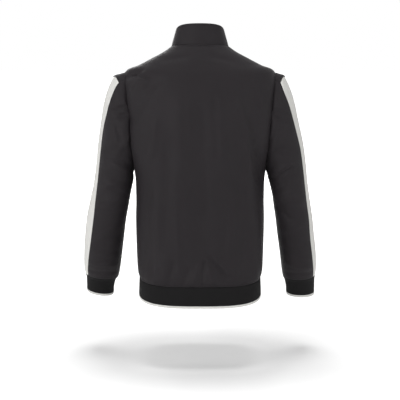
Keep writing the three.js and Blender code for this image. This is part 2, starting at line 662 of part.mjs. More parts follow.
function buildZip() {
  const sliderGroup = zipGroup([COLLAR, SLIDER.collarAt]);
  buildSlider(sliderGroup);
  buildTab(sliderGroup);

  const belowSlider = frontStations.slice(1).filter(([table, at]) => table !== COLLAR || at < CHAIN_TOP - 0.05);
  const chainStations = [[HEM, 0.2], ...belowSlider, [COLLAR, CHAIN_TOP]];
  for (const [side, sign] of [['left', 1], ['right', -1]]) {
    const tape = [TAPE_EDGE, ZIP_OPENING, TAPE_REACH].map((x) => sign * x);
    buildZipStrip(`zip_tape_${side}`, frontStations, tape, TAPE_SUNK, TAPE_WALL, COLOURS.teeth);
    const chain = [0, CHAIN_REACH].map((x) => sign * Math.max(x, 0.02));
    buildZipStrip(`zip_chain_${side}`, chainStations, chain, -CHAIN_PROUD, CHAIN_PROUD + DOUBLED, COLOURS.teeth);
    const stop = box(CHAIN_REACH - 0.6, -1.8, 1.8, -DOUBLED, DOUBLED + 1).translate(sign * (CHAIN_REACH + 0.6) / 2, 0, 0);
    add(`zip_stop_${side}`, stop, COLOURS.metal, MetalFinish, zipGroup([COLLAR, 0.965]));
  }
  const end = box(2 * ZIP_OPENING - 1.4, -3.2, 3.2, -DOUBLED, DOUBLED + 1.2);
  add('zip_box', end, COLOURS.metal, MetalFinish, zipGroup([HEM, 0.075]));
}

// ---------------------------------------------------------------- the whole jacket

buildBody();
buildStrips();
for (const side of ['left', 'right']) {
  buildSleeve(side);
  buildCuffTube('cuff', side, [0.015, 0.15, 0.5, 1 - CUFF_TRIM_SHARE], COLOURS.rib);
  buildCuffTube('cuff_trim', side, [1 - CUFF_TRIM_SHARE, 1], COLOURS.white);
}
buildZip();

export default part;
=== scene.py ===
# %% [markdown]
# # A zip-up track jacket
# A plain black track jacket of smooth knit, filled out as worn with nobody in it, seen from behind.
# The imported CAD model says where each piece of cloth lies. This file makes the surfaces that are
# seen: panels of cloth with their folds, rolled seams, rib knit, stitching and the zip.

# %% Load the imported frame
import json

import bpy
import numpy as np
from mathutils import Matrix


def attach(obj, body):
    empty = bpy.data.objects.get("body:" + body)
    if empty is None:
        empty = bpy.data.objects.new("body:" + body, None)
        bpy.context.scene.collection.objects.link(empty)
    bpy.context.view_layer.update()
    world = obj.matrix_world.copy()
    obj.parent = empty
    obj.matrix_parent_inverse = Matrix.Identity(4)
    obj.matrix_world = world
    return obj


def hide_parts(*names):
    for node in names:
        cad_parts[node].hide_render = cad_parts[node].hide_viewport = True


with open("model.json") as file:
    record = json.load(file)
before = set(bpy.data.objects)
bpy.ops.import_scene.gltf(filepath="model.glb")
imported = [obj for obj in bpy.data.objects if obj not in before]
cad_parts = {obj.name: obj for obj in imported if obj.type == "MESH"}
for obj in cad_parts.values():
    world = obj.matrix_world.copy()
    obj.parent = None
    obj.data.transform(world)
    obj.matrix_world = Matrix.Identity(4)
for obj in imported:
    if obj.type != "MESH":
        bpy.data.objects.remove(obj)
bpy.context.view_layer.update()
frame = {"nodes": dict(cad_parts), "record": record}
MM = 0.001  # the tables below are in millimetres and the scene is in metres
BODY_NAME = "jacket"

# %% [markdown]
# ## The camera comes first
# The jacket is looked at from behind and a little above, from 3 m away through a long lens, as a
# shop photographs clothes. The lens is worked out from the width that has to fit at that distance.

# %% Camera
CAMERA_DISTANCE = 3.0
CAMERA_PITCH = np.radians(11.4)
CAMERA_AIM = np.array([0.0, 0.0, -0.405])
VIEW_WIDTH = 1.06
SENSOR = 36.0

camera_data = bpy.data.cameras.new("camera")
camera_data.sensor_width = SENSOR
camera_data.lens = SENSOR * CAMERA_DISTANCE / VIEW_WIDTH
camera = bpy.data.objects.new("camera", camera_data)
camera.location = CAMERA_AIM + CAMERA_DISTANCE * np.array([0, np.cos(CAMERA_PITCH), np.sin(CAMERA_PITCH)])
camera.rotation_euler = (np.pi / 2 - CAMERA_PITCH, 0, np.pi)
bpy.context.scene.collection.objects.link(camera)
bpy.context.scene.camera = camera
print("lens", round(camera_data.lens, 1), "mm")

# %% [markdown]
# ## Sections
# A tailor's dummy could be described by its girths at a few heights. The body of the jacket is
# described so: each row is one ring, from the hem seam up over the shoulders to the neck. A cubic
# through the rows gives every ring between them. The same tables shaped the CAD solids, so the cloth
# lies exactly where they are.


# %% Tables of sections
def sections(names, rows):
    """A table as named columns, one array a column; lengths stay in millimetres."""
    return dict(zip(names.split(), np.array(rows, float).T))


RING_COLUMNS = "at halfWidth back front sideZ backZ frontZ square"
BODY = sections(RING_COLUMNS, [
    [0.00, 161, 114, 121, -603, -613.5, -608, 3.4],
    [0.03, 165, 118, 126, -590, -599, -594, 3.2],
    [0.12, 168, 112, 124, -541, -545, -541, 2.9],
    [0.24, 170, 109, 123, -458, -460, -460, 2.6],
    [0.36, 169, 113, 127, -388, -386, -388, 2.45],
    [0.46, 173, 120, 131, -320, -315, -318, 2.4],
    [0.55, 196, 124, 134, -243, -236, -246, 2.5],
    [0.63, 205, 123, 132, -168, -163, -195, 2.55],
    [0.70, 201, 116, 126, -104, -104, -152, 2.5],
    [0.74, 193, 107, 119, -68, -72, -130, 2.45],
    [0.82, 161, 93, 107, -55, -43, -113, 2.35],
    [0.89, 129, 81, 95, -40, -22, -99, 2.25],
    [0.95, 98, 71, 84, -24, -6, -84, 2.15],
    [1.00, 75, 64, 76, -8, 6, -72, 2.1],
])
COLLAR = sections(RING_COLUMNS, [
    [0.00, 75, 64, 76, -8, 6, -72, 2.1],
    [0.35, 70, 60, 74, 10, 26, -50, 2.1],
    [0.75, 65, 54, 72, 27, 47, -28, 2.1],
    [1.00, 62, 51, 71, 37, 61, -14, 2.1],
])
HEM = sections(RING_COLUMNS, [
    [0.00, 163, 118, 125, -657, -669.5, -662, 3.2],
    [0.12, 163, 118, 125, -650, -662.5, -655, 3.2],
    [0.60, 162, 117, 124, -625, -638, -631, 3.3],
    [1.00, 161, 114, 121, -603, -613.5, -608, 3.4],
])
ARM_COLUMNS = "at outerX outerZ innerX innerZ halfDepth centreY bend"
SLEEVE = sections(ARM_COLUMNS, [
    [0, 194, -66, 174, -318, 72, 0, 0],
    [1, 210, -71, 174, -322, 73, 0, 0],
    [2, 224.5, -80, 174.5, -326, 74, 0, 0],
    [3, 240, -112, 175, -330, 73, 0, 0],
    [4, 251, -150, 175.5, -334, 71, 0, 0],
    [5, 259, -197, 175, -339, 69, 0, 0],
    [6, 267, -252, 175, -348, 66, 0, 0],
    [7, 273, -306, 178.5, -365, 63, 0, 0],
    [8, 281, -358, 184, -391, 61, -2, 2],
    [9, 292, -406, 190, -424, 59, -6, 4],
    [10, 302, -452, 197, -460, 57, -13, 5],
    [11, 309, -506, 204, -510, 55, -25, 6],
    [12, 313.5, -557, 211, -561, 52, -37, 6],
    [13, 315, -595, 217, -601, 48, -47, 6],
    [14, 312.5, -616, 222, -625, 43, -53, 6],
])
CUFF = sections(ARM_COLUMNS, [
    [0, 312.5, -616, 222, -625, 43, -53, 6],
    [0.15, 310, -625, 230, -635, 39, -56, 5],
    [0.6, 310, -647, 236, -658, 37, -62, 4],
    [0.87, 310.5, -662, 237, -673, 36.5, -66, 4],
    [1, 311, -669, 238, -680, 36.5, -67, 4],
])
RIGHT_SLEEVE = sections("at outer outerZ inner", [
    [0, 0, 0, 0],
    [2, -4, 0, 0],
    [4, -3.5, 0, 1.2],
    [5, -1, 0, 3],
    [6, 3.5, 0, 5],
    [7, 5.5, 0, 6.5],
    [8, 3.5, 0, 7],
    [9, 0, 0, 6],
    [10.5, -2.5, 0, 4.5],
    [12, 0, 0, 5.5],
    [14, 1.5, -6, 4],
])
RIGHT_CUFF = sections("at outer outerZ inner", [
    [0, 1.5, -6, 4],
    [0.15, 3, -8, 1],
    [0.6, 3.5, -10, 0],
    [1, 3.5, -11, 0],
])
PANEL_EDGES = sections("at backLeft backRight frontEdge", [
    [1.2, 35, 35, -35],
    [2, 39, 42, -35],
    [3, 41, 43.5, -34],
    [4, 41, 43, -34],
    [5, 36.5, 40, -34],
    [6, 36.5, 37.5, -34],
    [7, 36.5, 37.5, -34],
    [8, 39.5, 36.5, -34],
    [9, 46.5, 38.5, -33],
    [10, 51.5, 39.5, -33],
    [11, 49.5, 42, -32],
    [12, 44.5, 40.5, -33],
    [14, 36, 30, -34],
])

CLOTH = 1.6
DOUBLED = 2.4
ZIP_OPENING = 5
TAPE_EDGE = 1.2
TAPE_REACH = 15
TAPE_SUNK = 2.85
TAPE_WALL = 0.8
ARMHOLE_LOW, ARMHOLE_HIGH, ARMHOLE_OPENING = 0.46, 0.74, 22
CAP_TIP, CAP_CORNER, CAP_ANGLE, CAP_PROUD = 2, 1.2, 35, 2.6
SLEEVE_END = 14
HEM_TIPPING = 0.11
CUFF_TIPPING = 0.12
SLIDER_AT = 0.8
FINE_DEPTH = 1.3
print("body rings", len(BODY["at"]), "sleeve rings", len(SLEEVE["at"]))

# %% [markdown]
# ## Folds
# A fold in cloth is a soft ridge or trough that starts somewhere, runs a while and fades. Each is one
# row: its two ends as seen from behind or in front, its half-width and its depth. The body's run down
# from the shoulder blades and fan out over the hem band, and the sleeves' lie across them where the
# arm bends. No two are alike, because real ones aren't.

# %% Tables of folds
FOLD_COLUMNS = "x1 z1 x2 z2 width depth"
BACK_FOLDS = sections(FOLD_COLUMNS, [
    [52, -170, 46, -360, 22, 5],
    [-52, -190, -84, -480, 22, 5],
    [10, -250, -8, -500, 26, -4],
    [126, -92, 172, -170, 16, -5],
    [-136, -150, -158, -320, 20, -7],
    [-122, -240, -148, -560, 18, 6],
    [118, -420, 92, -590, 20, 5],
    [135, -380, 128, -560, 18, -5],
    [-30, -560, -80, -608, 16, -4],
])
BACK_FINE_FOLDS = sections(FOLD_COLUMNS, [
    [150, -56, 182, -74, 6, -3.6],
    [136, -74, 172, -66, 6, -3.4],
    [158, -84, 176, -120, 8, 2.4],
    [112, -190, 122, -262, 9, 2.4],
    [112, -86, 130, -96, 9, -1.8],
    [-118, -240, -126, -300, 8, 2.6],
    [-104, -118, -130, -178, 10, -2.4],
    [-146, -88, -160, -150, 8, 2.0],
    [24, -150, 20, -330, 12, 1.7],
    [-8, -170, -16, -400, 13, -1.9],
    [-38, -130, -42, -250, 10, -1.6],
    [80, -250, 96, -520, 13, -2.2],
    [66, -330, 54, -560, 11, 1.8],
    [-100, -330, -112, -520, 11, -2.2],
    [-70, -420, -58, -560, 12, -1.8],
    [-24, -536, -62, -588, 6, -2.6],
    [-20, -545, -34, -600, 5, 2.2],
    [-12, -552, -6, -604, 5, -2.4],
    [2, -560, 18, -600, 6, 1.8],
    [-44, -548, -76, -576, 6, 2.2],
    [30, -572, 44, -606, 7, -1.8],
    [70, -560, 84, -604, 8, -2.2],
    [112, -566, 118, -604, 8, 2.0],
    [142, -520, 150, -590, 8, -2.4],
    [-104, -560, -110, -604, 7, -2.0],
    [-134, -540, -146, -600, 8, 2.2],
    [88, -30, 40, -22, 8, -1.2],
    [-84, -34, -36, -22, 8, -1.2],
])
FRONT_FOLDS = sections(FOLD_COLUMNS, [
    [128, -150, 92, -330, 22, -6],
    [-130, -160, -96, -350, 22, -6],
    [60, -300, 70, -560, 24, 4],
    [-66, -330, -60, -580, 24, 4],
])
FRONT_FINE_FOLDS = sections(FOLD_COLUMNS, [
    [150, -110, 172, -175, 10, -2.4],
    [-148, -118, -174, -170, 10, -2.4],
    [40, -160, 34, -330, 12, 1.8],
    [-44, -180, -36, -340, 12, 1.8],
    [110, -280, 124, -500, 12, -2.4],
    [-116, -300, -122, -520, 12, -2.2],
    [96, -420, 84, -580, 10, 2.0],
    [-92, -440, -88, -590, 10, 2.2],
    [30, -540, 42, -604, 7, -2.2],
    [-34, -548, -50, -600, 7, -2.0],
    [70, -556, 78, -604, 6, 2.0],
    [-76, -560, -82, -602, 6, 1.8],
    [120, -550, 130, -602, 8, -2.2],
    [-124, -552, -132, -600, 8, -2.4],
])
SLEEVE_FOLDS = sections(FOLD_COLUMNS, [
    [190, -165, 262, -178, 13, -5],
    [184, -270, 225, -262, 14, -5],
    [190, -352, 228, -330, 12, -5],
    [192, -395, 260, -402, 14, 4],
    [200, -500, 285, -520, 16, -4],
])
LEFT_FINE_FOLDS = sections(FOLD_COLUMNS, [
    [188, -142, 236, -152, 6, 2.4],
    [213, -206, 206, -228, 5, -2.2],
    [187, -150, 220, -156, 5, -3.2],
    [187, -172, 204, -175, 5, -3.0],
    [200, -163, 216, -165, 4, 2.2],
    [182, -228, 206, -262, 7, 1.6],
    [186, -298, 232, -286, 6, -2.6],
    [188, -318, 216, -300, 6, 2.2],
    [216, -350, 256, -356, 8, 1.8],
    [196, -380, 226, -366, 6, -2.4],
    [198, -432, 240, -424, 8, -2.0],
    [262, -420, 296, -450, 9, -1.6],
    [206, -470, 250, -486, 9, 1.8],
    [214, -545, 262, -536, 9, -1.9],
    [230, -585, 296, -576, 7, 2.0],
    [222, -606, 300, -600, 6, -2.2],
    [244, -566, 306, -584, 6, -1.5],
])
RIGHT_FINE_FOLDS = sections(FOLD_COLUMNS, [
    [190, -170, 222, -186, 6, -3.0],
    [188, -150, 214, -158, 6, 2.2],
    [186, -232, 206, -206, 7, -2.6],
    [188, -338, 226, -310, 5, -4.0],
    [190, -322, 230, -296, 6, 3.0],
    [190, -372, 216, -350, 6, -3.2],
    [194, -396, 222, -378, 6, 2.0],
    [200, -420, 226, -440, 8, -2.6],
    [240, -392, 284, -410, 8, 1.6],
    [206, -486, 252, -470, 9, 1.8],
    [216, -540, 280, -552, 9, -2.0],
    [228, -580, 290, -590, 7, 2.0],
    [224, -608, 296, -604, 6, -2.2],
])
print("folds", sum(len(t["x1"]) for t in (BACK_FOLDS, BACK_FINE_FOLDS, SLEEVE_FOLDS, LEFT_FINE_FOLDS)))

# %% [markdown]
# ## Surfaces as functions of two numbers
# Every panel is a patch of one of two surfaces. A position along the tube and an angle round it give a
# point, and whole arrays of both give a whole panel at once.


# %% Smooth columns, rings and folds
def smooth(table, key, at):
    """A column at any position: cubic pieces whose slope at a row is that between its neighbours."""
    knots, values = table["at"], table[key]
    low = np.r_[0, 0:len(knots) - 1]
    high = np.r_[1:len(knots), len(knots) - 1]
    slopes = (values[high] - values[low]) / (knots[high] - knots[low])
    i = np.clip(np.searchsorted(knots, at, side="right") - 1, 0, len(knots) - 2)
    span = knots[i + 1] - knots[i]
    t = (at - knots[i]) / span
    rise = t * t * (3 - 2 * t)
    pull = t * (1 - t) ** 2 * slopes[i] + t * t * (t - 1) * slopes[i + 1]
    return values[i] * (1 - rise) + values[i + 1] * rise + span * pull


def step(value, low, high):
    """0 below low, 1 above high and the smooth 3t2 - 2t3 between them."""
    t = np.clip((value - low) / (high - low), 0, 1)
    return t * t * (3 - 2 * t)


def ring_point(table, at, angle):
    """A superellipse ring: its radius is (|sin/width|^p + |cos/depth|^p)^(-1/p), and its height is a
    parabola through the side, back and front heights."""
    sine, cosine = np.sin(np.radians(angle)), np.cos(np.radians(angle))
    depth = np.where(cosine > 0, smooth(table, "back", at), smooth(table, "front", at))
    width, power = smooth(table, "halfWidth", at), smooth(table, "square", at)
    reach = (np.abs(sine / width) ** power + np.abs(cosine / depth) ** power) ** (-1 / power)
    lean = cosine * reach / depth
    side = smooth(table, "sideZ", at)
    back, front = smooth(table, "backZ", at) - side, smooth(table, "frontZ", at) - side
    height = side + lean * (back - front) / 2 + lean ** 2 * (back + front) / 2
    return np.stack([sine * reach, cosine * reach, height], -1)


def fold_lift(folds, x, z):
    """The sum of the folds at (x, z): a bell across each line, faded past its two ends."""
    lift = np.zeros_like(x)
    for x1, z1, x2, z2, width, depth in zip(*folds.values()):
        length = np.hypot(x2 - x1, z2 - z1)
        run = ((x - x1) * (x2 - x1) + (z - z1) * (z2 - z1)) / length
        across = ((x - x1) * (z2 - z1) - (z - z1) * (x2 - x1)) / length
        beyond = np.maximum(np.maximum(-run, run - length), 0)
        lift += depth * np.exp(-(across / width) ** 2 - (beyond / (2 * width)) ** 2)
    return lift


def unit(vectors):
    """Vectors divided by their lengths."""
    return vectors / np.maximum(np.linalg.norm(vectors, axis=-1, keepdims=True), 1e-9)


def normal_of(surface, at, angle, step_at, limits):
    """The outward normal: the cross product of the differences along and round the surface."""
    above, below = np.minimum(at + step_at, limits[1]), np.maximum(at - step_at, limits[0])
    along = surface(above, angle) - surface(below, angle)
    around = surface(at, angle + 0.5) - surface(at, angle - 0.5)
    return unit(np.cross(along, around))


# %% The body and the sleeves as surfaces
def body_plain(at, angle):
    """The body without its folds."""
    return ring_point(BODY, at, angle)


def body_point(at, angle):
    """The body lifted along its normal by its folds, which fade at the seams and at the sides."""
    point = body_plain(at, angle)
    x, z = point[..., 0], point[..., 2]
    behind = np.abs(angle) < 90
    edge = np.abs(np.cos(np.radians(angle)))
    large = np.where(behind, fold_lift(BACK_FOLDS, x, z), fold_lift(FRONT_FOLDS, x, z))
    lift = large * step(at, 0, 0.06) * (1 - step(at, 0.9, 1)) * step(edge, 0.1, 0.4)
    small = np.where(behind, fold_lift(BACK_FINE_FOLDS, x, z), fold_lift(FRONT_FINE_FOLDS, x, z))
    lift = lift + FINE_DEPTH * small * step(at, 0, 0.012) * (1 - step(at, 0.97, 1)) * step(edge, 0.05, 0.3)
    return point + normal_of(body_plain, at, angle, 0.004, (0, 1)) * lift[..., None]


def arm_point(table, at, angle):
    """An ellipse between the outermost and the underarm point, tipped with the bent forearm."""
    row = {key: smooth(table, key, at) for key in table}
    bend = np.radians(row["bend"])
    zero = np.zeros_like(row["outerX"])
    middle_x, middle_z = (row["outerX"] + row["innerX"]) / 2, (row["outerZ"] + row["innerZ"]) / 2
    middle = np.stack([middle_x, row["centreY"], middle_z], -1)
    outwards = np.stack([(row["outerX"] - row["innerX"]) / 2, zero, (row["outerZ"] - row["innerZ"]) / 2], -1)
    backwards = np.stack([zero, np.cos(bend), -np.sin(bend)], -1) * row["halfDepth"][..., None]
    turn = np.radians(angle)[..., None]
    return middle + outwards * np.cos(turn) + backwards * np.sin(turn)


def mirrored(side, shifts, point, at, angle):
    """A left arm's point, or the right arm's: its outer and underarm lines moved, then mirrored."""
    if side > 0:
        return point
    outer = (1 + np.cos(np.radians(angle))) / 2
    x = point[..., 0] + smooth(shifts, "outer", at) * outer + smooth(shifts, "inner", at) * (1 - outer)
    return np.stack([-x, point[..., 1], point[..., 2] + smooth(shifts, "outerZ", at) * outer], -1)


def armhole_at(angle):
    """The ring position of the armhole's edge at an angle round it."""
    middle, half = (ARMHOLE_LOW + ARMHOLE_HIGH) / 2, (ARMHOLE_HIGH - ARMHOLE_LOW) / 2
    return middle + half * np.cos(np.radians(angle))


def armhole_point(side, angle):
    """The armhole's edge on the body, mirrored to the left."""
    point = body_point(armhole_at(angle), side * (90 - ARMHOLE_OPENING * np.sin(np.radians(angle))))
    return point * np.array([side, 1, 1])


def sleeve_point(side, at, angle):
    """A sleeve: arm rings whose first is pulled on to the armhole, with folds that lift front and back."""
    at, angle = np.broadcast_arrays(np.asarray(at, float), np.asarray(angle, float))
    point = arm_point(SLEEVE, at, angle)
    x, z = point[..., 0], point[..., 2]
    round_share = np.abs(np.sin(np.radians(angle)))
    lift = fold_lift(SLEEVE_FOLDS, x, z) * step(at, 0, 2)
    small = fold_lift(LEFT_FINE_FOLDS if side > 0 else RIGHT_FINE_FOLDS, x, z)
    lift = lift + FINE_DEPTH * small * step(at, 0, 0.6)
    lift = lift * round_share * (1 - step(at, SLEEVE_END - 0.6, SLEEVE_END))
    join = armhole_point(side, angle) - arm_point(SLEEVE, np.zeros_like(at), angle)
    point = point + join * (1 - step(at, 0, 4))[..., None]
    point[..., 1] += np.sign(np.sin(np.radians(angle))) * lift
    return mirrored(side, RIGHT_SLEEVE, point, at, angle)


def cuff_point(side, at, angle):
    """A cuff ring, with the right one's own outline."""
    return mirrored(side, RIGHT_CUFF, arm_point(CUFF, at, angle), at, angle)


print("back at the shoulder blades", np.round(body_point(np.array([0.63]), np.array([0.0]))[0], 1))

# %% [markdown]
# ## A panel of cloth
# Knit is cut, sewn and turned, so a panel's edge rolls down into its seam and a folded edge is round.
# A panel is a grid of outer points, the same points moved in by the cloth's thickness, and a rim. It
# is built by hand rather than with Solidify, because the roll at each edge then differs from edge to
# edge. Its UV map is in metres along the cloth, which lets the knit run true on every panel.

# %% Grids and panels
ROLL_WIDTH, ROLL_DEPTH = 1.8, 0.9
STITCH_INSET, GROOVE_WIDTH, GROOVE_DEPTH = 5.0, 1.1, 0.45
LIP, LIP_WIDTH, LIP_DEPTH = 0.3, 0.2, 0.8
SEAMS = ("seam", "sewn")
NEAR_EDGE = np.array([0, 0.4, 1.0, 1.8, 2.8, 3.9, 5.0, 6.1])
EDGE_REACH = 0.45
FOLD_ROUND = 0.49  # just under half, so that the two faces of a fold stay apart


def shares(count, length):
    """0 to 1 in even steps, with closer ones for the first and last few millimetres. A short strip keeps
    only the close ones that fit in its own half, so that its rows never run backwards."""
    near = NEAR_EDGE[NEAR_EDGE < EDGE_REACH * length] / length
    even = np.linspace(0, 1, count)
    even = even[(even > near[-1] * 1.2) & (even < 1 - near[-1] * 1.2)]
    return np.concatenate([near, even, 1 - near[::-1]])


def distances(grid, axis):
    """How far each grid point lies from the first one along an axis, in millimetres."""
    gaps = np.linalg.norm(np.diff(grid, axis=axis), axis=-1)
    zero = np.zeros_like(np.take(gaps, [0], axis=axis))
    return np.concatenate([zero, np.cumsum(gaps, axis=axis)], axis=axis)


def grid_normals(grid, like):
    """Normals of a displaced grid, from its differences, turned to the side of the given ones."""
    normals = unit(np.cross(np.gradient(grid, axis=0), np.gradient(grid, axis=1)))
    return normals * np.sign(np.sum(normals * like, -1, keepdims=True))


def bell(distance, width):
    """1 at 0, falling off as exp(-(distance / width)^2)."""
    return np.exp(-(distance / width) ** 2)


def edge_relief(distance, kind, wall):
    """How far an edge sinks: a bell and a lip into a seam, with a groove where it is topstitched, or a
    quarter circle over a folded edge."""
    if kind in ("seam", "sewn"):
        groove = GROOVE_DEPTH * bell(distance - STITCH_INSET, GROOVE_WIDTH) if kind == "sewn" else 0
        return ROLL_DEPTH * bell(distance, ROLL_WIDTH) + LIP_DEPTH * bell(distance, LIP_WIDTH) + groove
    if kind == "fold":
        radius = FOLD_ROUND * wall
        short = np.clip(radius - distance, 0, radius)
        return radius - np.sqrt(np.maximum(radius ** 2 - short ** 2, 0))
    return np.zeros_like(distance)


def with_lips(grid, kinds, lip):
    """Adds a line beyond each seam edge, so that two neighbours close the gap between them."""
    grow = lambda edge, next_in: edge + lip * unit(edge - next_in)
    if kinds[0] in ("seam", "sewn"):
        grid = np.concatenate([grow(grid[:1], grid[1:2]), grid], 0)
    if kinds[1] in ("seam", "sewn"):
        grid = np.concatenate([grid, grow(grid[-1:], grid[-2:-1])], 0)
    if kinds[2] in ("seam", "sewn"):
        grid = np.concatenate([grow(grid[:, :1], grid[:, 1:2]), grid], 1)
    if kinds[3] in ("seam", "sewn"):
        grid = np.concatenate([grid, grow(grid[:, -1:], grid[:, -2:-1])], 1)
    return grid


def new_object(name, vertices, faces, uv=None, smooth_faces=None):
    """A mesh object from arrays in millimetres; uv has a row for each vertex."""
    mesh = bpy.data.meshes.new(name)
    mesh.from_pydata((vertices * MM).tolist(), [], faces.tolist())
    if uv is not None:
        layer = mesh.uv_layers.new(name="cloth")
        loops = np.empty(len(mesh.loops), np.int32)
        mesh.loops.foreach_get("vertex_index", loops)
        layer.data.foreach_set("uv", uv[loops].astype(np.float32).ravel())
    flags = np.ones(len(mesh.polygons), bool) if smooth_faces is None else smooth_faces
    mesh.polygons.foreach_set("use_smooth", flags)
    mesh.update()
    thing = bpy.data.objects.new(name, mesh)
    bpy.context.scene.collection.objects.link(thing)
    return thing


def wall_faces(rows, columns, closed_round):
    """Quads of the outer grid, of the inner one and of the rims that join them."""
    count = rows * columns
    index = np.arange(count).reshape(rows, columns)
    if closed_round:
        index = np.concatenate([index, index[:, :1]], 1)
    a, b, c, d = index[:-1, :-1], index[:-1, 1:], index[1:, 1:], index[1:, :-1]
    outside = np.stack([a, b, c, d], -1).reshape(-1, 4)
    inside = np.stack([a, d, c, b], -1).reshape(-1, 4) + count
    rims = [(index[0, 1:], index[0, :-1]), (index[-1, :-1], index[-1, 1:])]
    if not closed_round:
        rims += [(index[:-1, 0], index[1:, 0]), (index[1:, -1], index[:-1, -1])]
    rim = np.concatenate([np.stack([p, q, q + count, p + count], -1) for p, q in rims])
    return np.concatenate([outside, inside, rim]), len(outside)


def panel(name, points, normals, wall, edges="seam seam seam seam", relief=0.0, closed_round=False, sunk=0):
    """A wall of cloth from a grid. edges says what its first row, last row, first column and last
    column are: seam, sewn, fold or cut. relief is a further lift of the outer face in millimetres."""
    kinds = edges.split()
    if closed_round:
        kinds[2:] = ["cut", "cut"]
    relief = np.broadcast_to(relief, points.shape[:2])[..., None]
    sewn = [kind in SEAMS for kind in kinds]
    points = with_lips(points, kinds, LIP)
    normals, relief = (with_lips(grid, kinds, 0) for grid in (normals, relief))
    rows, columns = points.shape[:2]
    down, across = distances(points, 0), distances(points, 1)
    ends = [(down, kinds[0]), (down[-1:] - down, kinds[1])]
    sides = [(across, kinds[2]), (across[:, -1:] - across, kinds[3])]
    zero = np.zeros_like(down)
    seamed = zero + sum(edge_relief(distance, kind, wall) for distance, kind in ends + sides if kind in SEAMS)
    rounded = np.maximum.reduce([zero] + [edge_relief(distance, kind, wall) for distance, kind in ends + sides
                                          if kind == "fold"])
    folded = zero + sum(edge_relief(distance, kind, wall) for distance, kind in ends if kind == "fold")
    outer = points + normals * (relief - (seamed + rounded)[..., None] - sunk)
    inner = points + normals * (np.minimum(relief, 0) + (folded - seamed)[..., None] - wall - sunk)
    faces, outside = wall_faces(rows, columns, closed_round)
    corner = outer.reshape(-1, 3)[faces[outside // 2]]
    outward = normals.reshape(-1, 3)[faces[outside // 2][0]]
    if np.cross(corner[1] - corner[0], corner[3] - corner[0]) @ outward < 0:
        faces = faces[:, ::-1]
    middle = across - across[:, columns // 2:columns // 2 + 1]
    uv = np.stack([middle, down], -1).reshape(-1, 2) * MM
    vertices = np.concatenate([outer.reshape(-1, 3), inner.reshape(-1, 3)])
    thing = new_object(name, vertices, faces, np.concatenate([uv, uv]), np.arange(len(faces)) < 2 * outside)
    turn = wall * np.pi / 2  # a folded edge goes half round a circle as wide as the wall
    wide, long = float(across[:, -1].max()), float(down[-1].max())
    cut = (wide + turn * kinds[2:].count("fold"), long + turn * kinds[:2].count("fold"))
    area = cloth_area(points) * cut[0] * cut[1] / (wide * long)
    seen = outer[sewn[0]:rows - sewn[1], sewn[2]:columns - sewn[3]]
    return thing, seen, (*cut, area)


def cloth_area(points):
    """The area of a grid: half the cross product of each cell's diagonals, summed."""
    one, other = points[1:, 1:] - points[:-1, :-1], points[1:, :-1] - points[:-1, 1:]
    return float(np.linalg.norm(np.cross(one, other), axis=-1).sum() / 2)


# %% [markdown]
# Each finished piece of cloth is declared: it is attached to the body it rides on and stands in for a
# CAD solid, whose slot gives it its finish further down, and the size that it was cut to is printed.

# %% Declaring a piece
pieces = {}


def declare(thing, node, cut=None):
    """Says what a piece stands for, and for cloth the flat size of its cut."""
    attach(thing, BODY_NAME)
    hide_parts(node)
    pieces[node] = thing
    if cut:
        width, length, area = cut[0] * MM, cut[1] * MM, cut[2] * MM * MM
        print(f"{node}: {width * 1000:.0f} x {length * 1000:.0f} mm, {len(thing.data.polygons)} faces")


# %% [markdown]
# ## Back and fronts
# The back is one piece from hem to neck, and each front runs to the zip. They meet the sleeves round
# the armholes. Their rows are spaced by the cosine of the angle round the armhole, so that they bunch
# where the hole opens and closes.

# %% Body panels
def body_rows():
    """Ring positions: even below and above the armhole, and bunched towards its two ends."""
    skip = len(NEAR_EDGE) - 1
    low = (shares(60, 300) * ARMHOLE_LOW)[:-skip]
    hole = armhole_at(np.linspace(180, 0, 76))
    high = (ARMHOLE_HIGH + shares(34, 150) * (1 - ARMHOLE_HIGH))[skip:]
    return np.concatenate([low[low < hole[0] - 1e-6], hole, high[high > hole[-1] + 1e-6]])


def side_angle(at, behind):
    """Where a panel ends at the side: the side seam, or the edge of the armhole."""
    middle, half = (ARMHOLE_LOW + ARMHOLE_HIGH) / 2, (ARMHOLE_HIGH - ARMHOLE_LOW) / 2
    opening = ARMHOLE_OPENING * np.sqrt(1 - np.clip((at - middle) / half, -1, 1) ** 2)
    return 90 - opening if behind else 90 + opening


def front_edge(table, at, distance):
    """The angle of a line that runs a fixed distance from the centre front."""
    return 180 - np.degrees(np.arctan(distance / smooth(table, "front", at)))


VALLEY_WIDTH, VALLEY_DEPTH = 9.0, 3.0
CREASE_WIDTH, CREASE_DEPTH = 4.0, 2.0
SPOKE_WIDTH = 7.0
HUB = armhole_point(1, np.arange(0, 360, 10.0)).mean(0)


def dip_at_armhole(points, edge, turn, distance):
    """Points beside an armhole pulled towards its middle, and how far each shares the seam's direction.
    turn is 0 at the top of the armhole and 180 under the arm. Body and sleeve use the same dip along
    the same spokes, from the hub of the armhole to its edge, so that their seam stays shut."""
    same = np.ones(edge.shape[:-1])
    spokes = unit(edge - HUB * np.stack([np.sign(edge[..., 0]), same, same], -1))
    under = 1 - step(turn, 150, 180)
    dip = VALLEY_DEPTH * step(turn, 35, 60) * bell(distance, VALLEY_WIDTH)
    dip = (dip + CREASE_DEPTH * step(turn, 25, 45) * bell(distance, CREASE_WIDTH)) * under
    share = bell(distance, SPOKE_WIDTH) * step(turn, 0, 8) * (1 - step(turn, 176, 180))
    return points - spokes * dip[..., None], spokes * share[..., None], share[..., None]


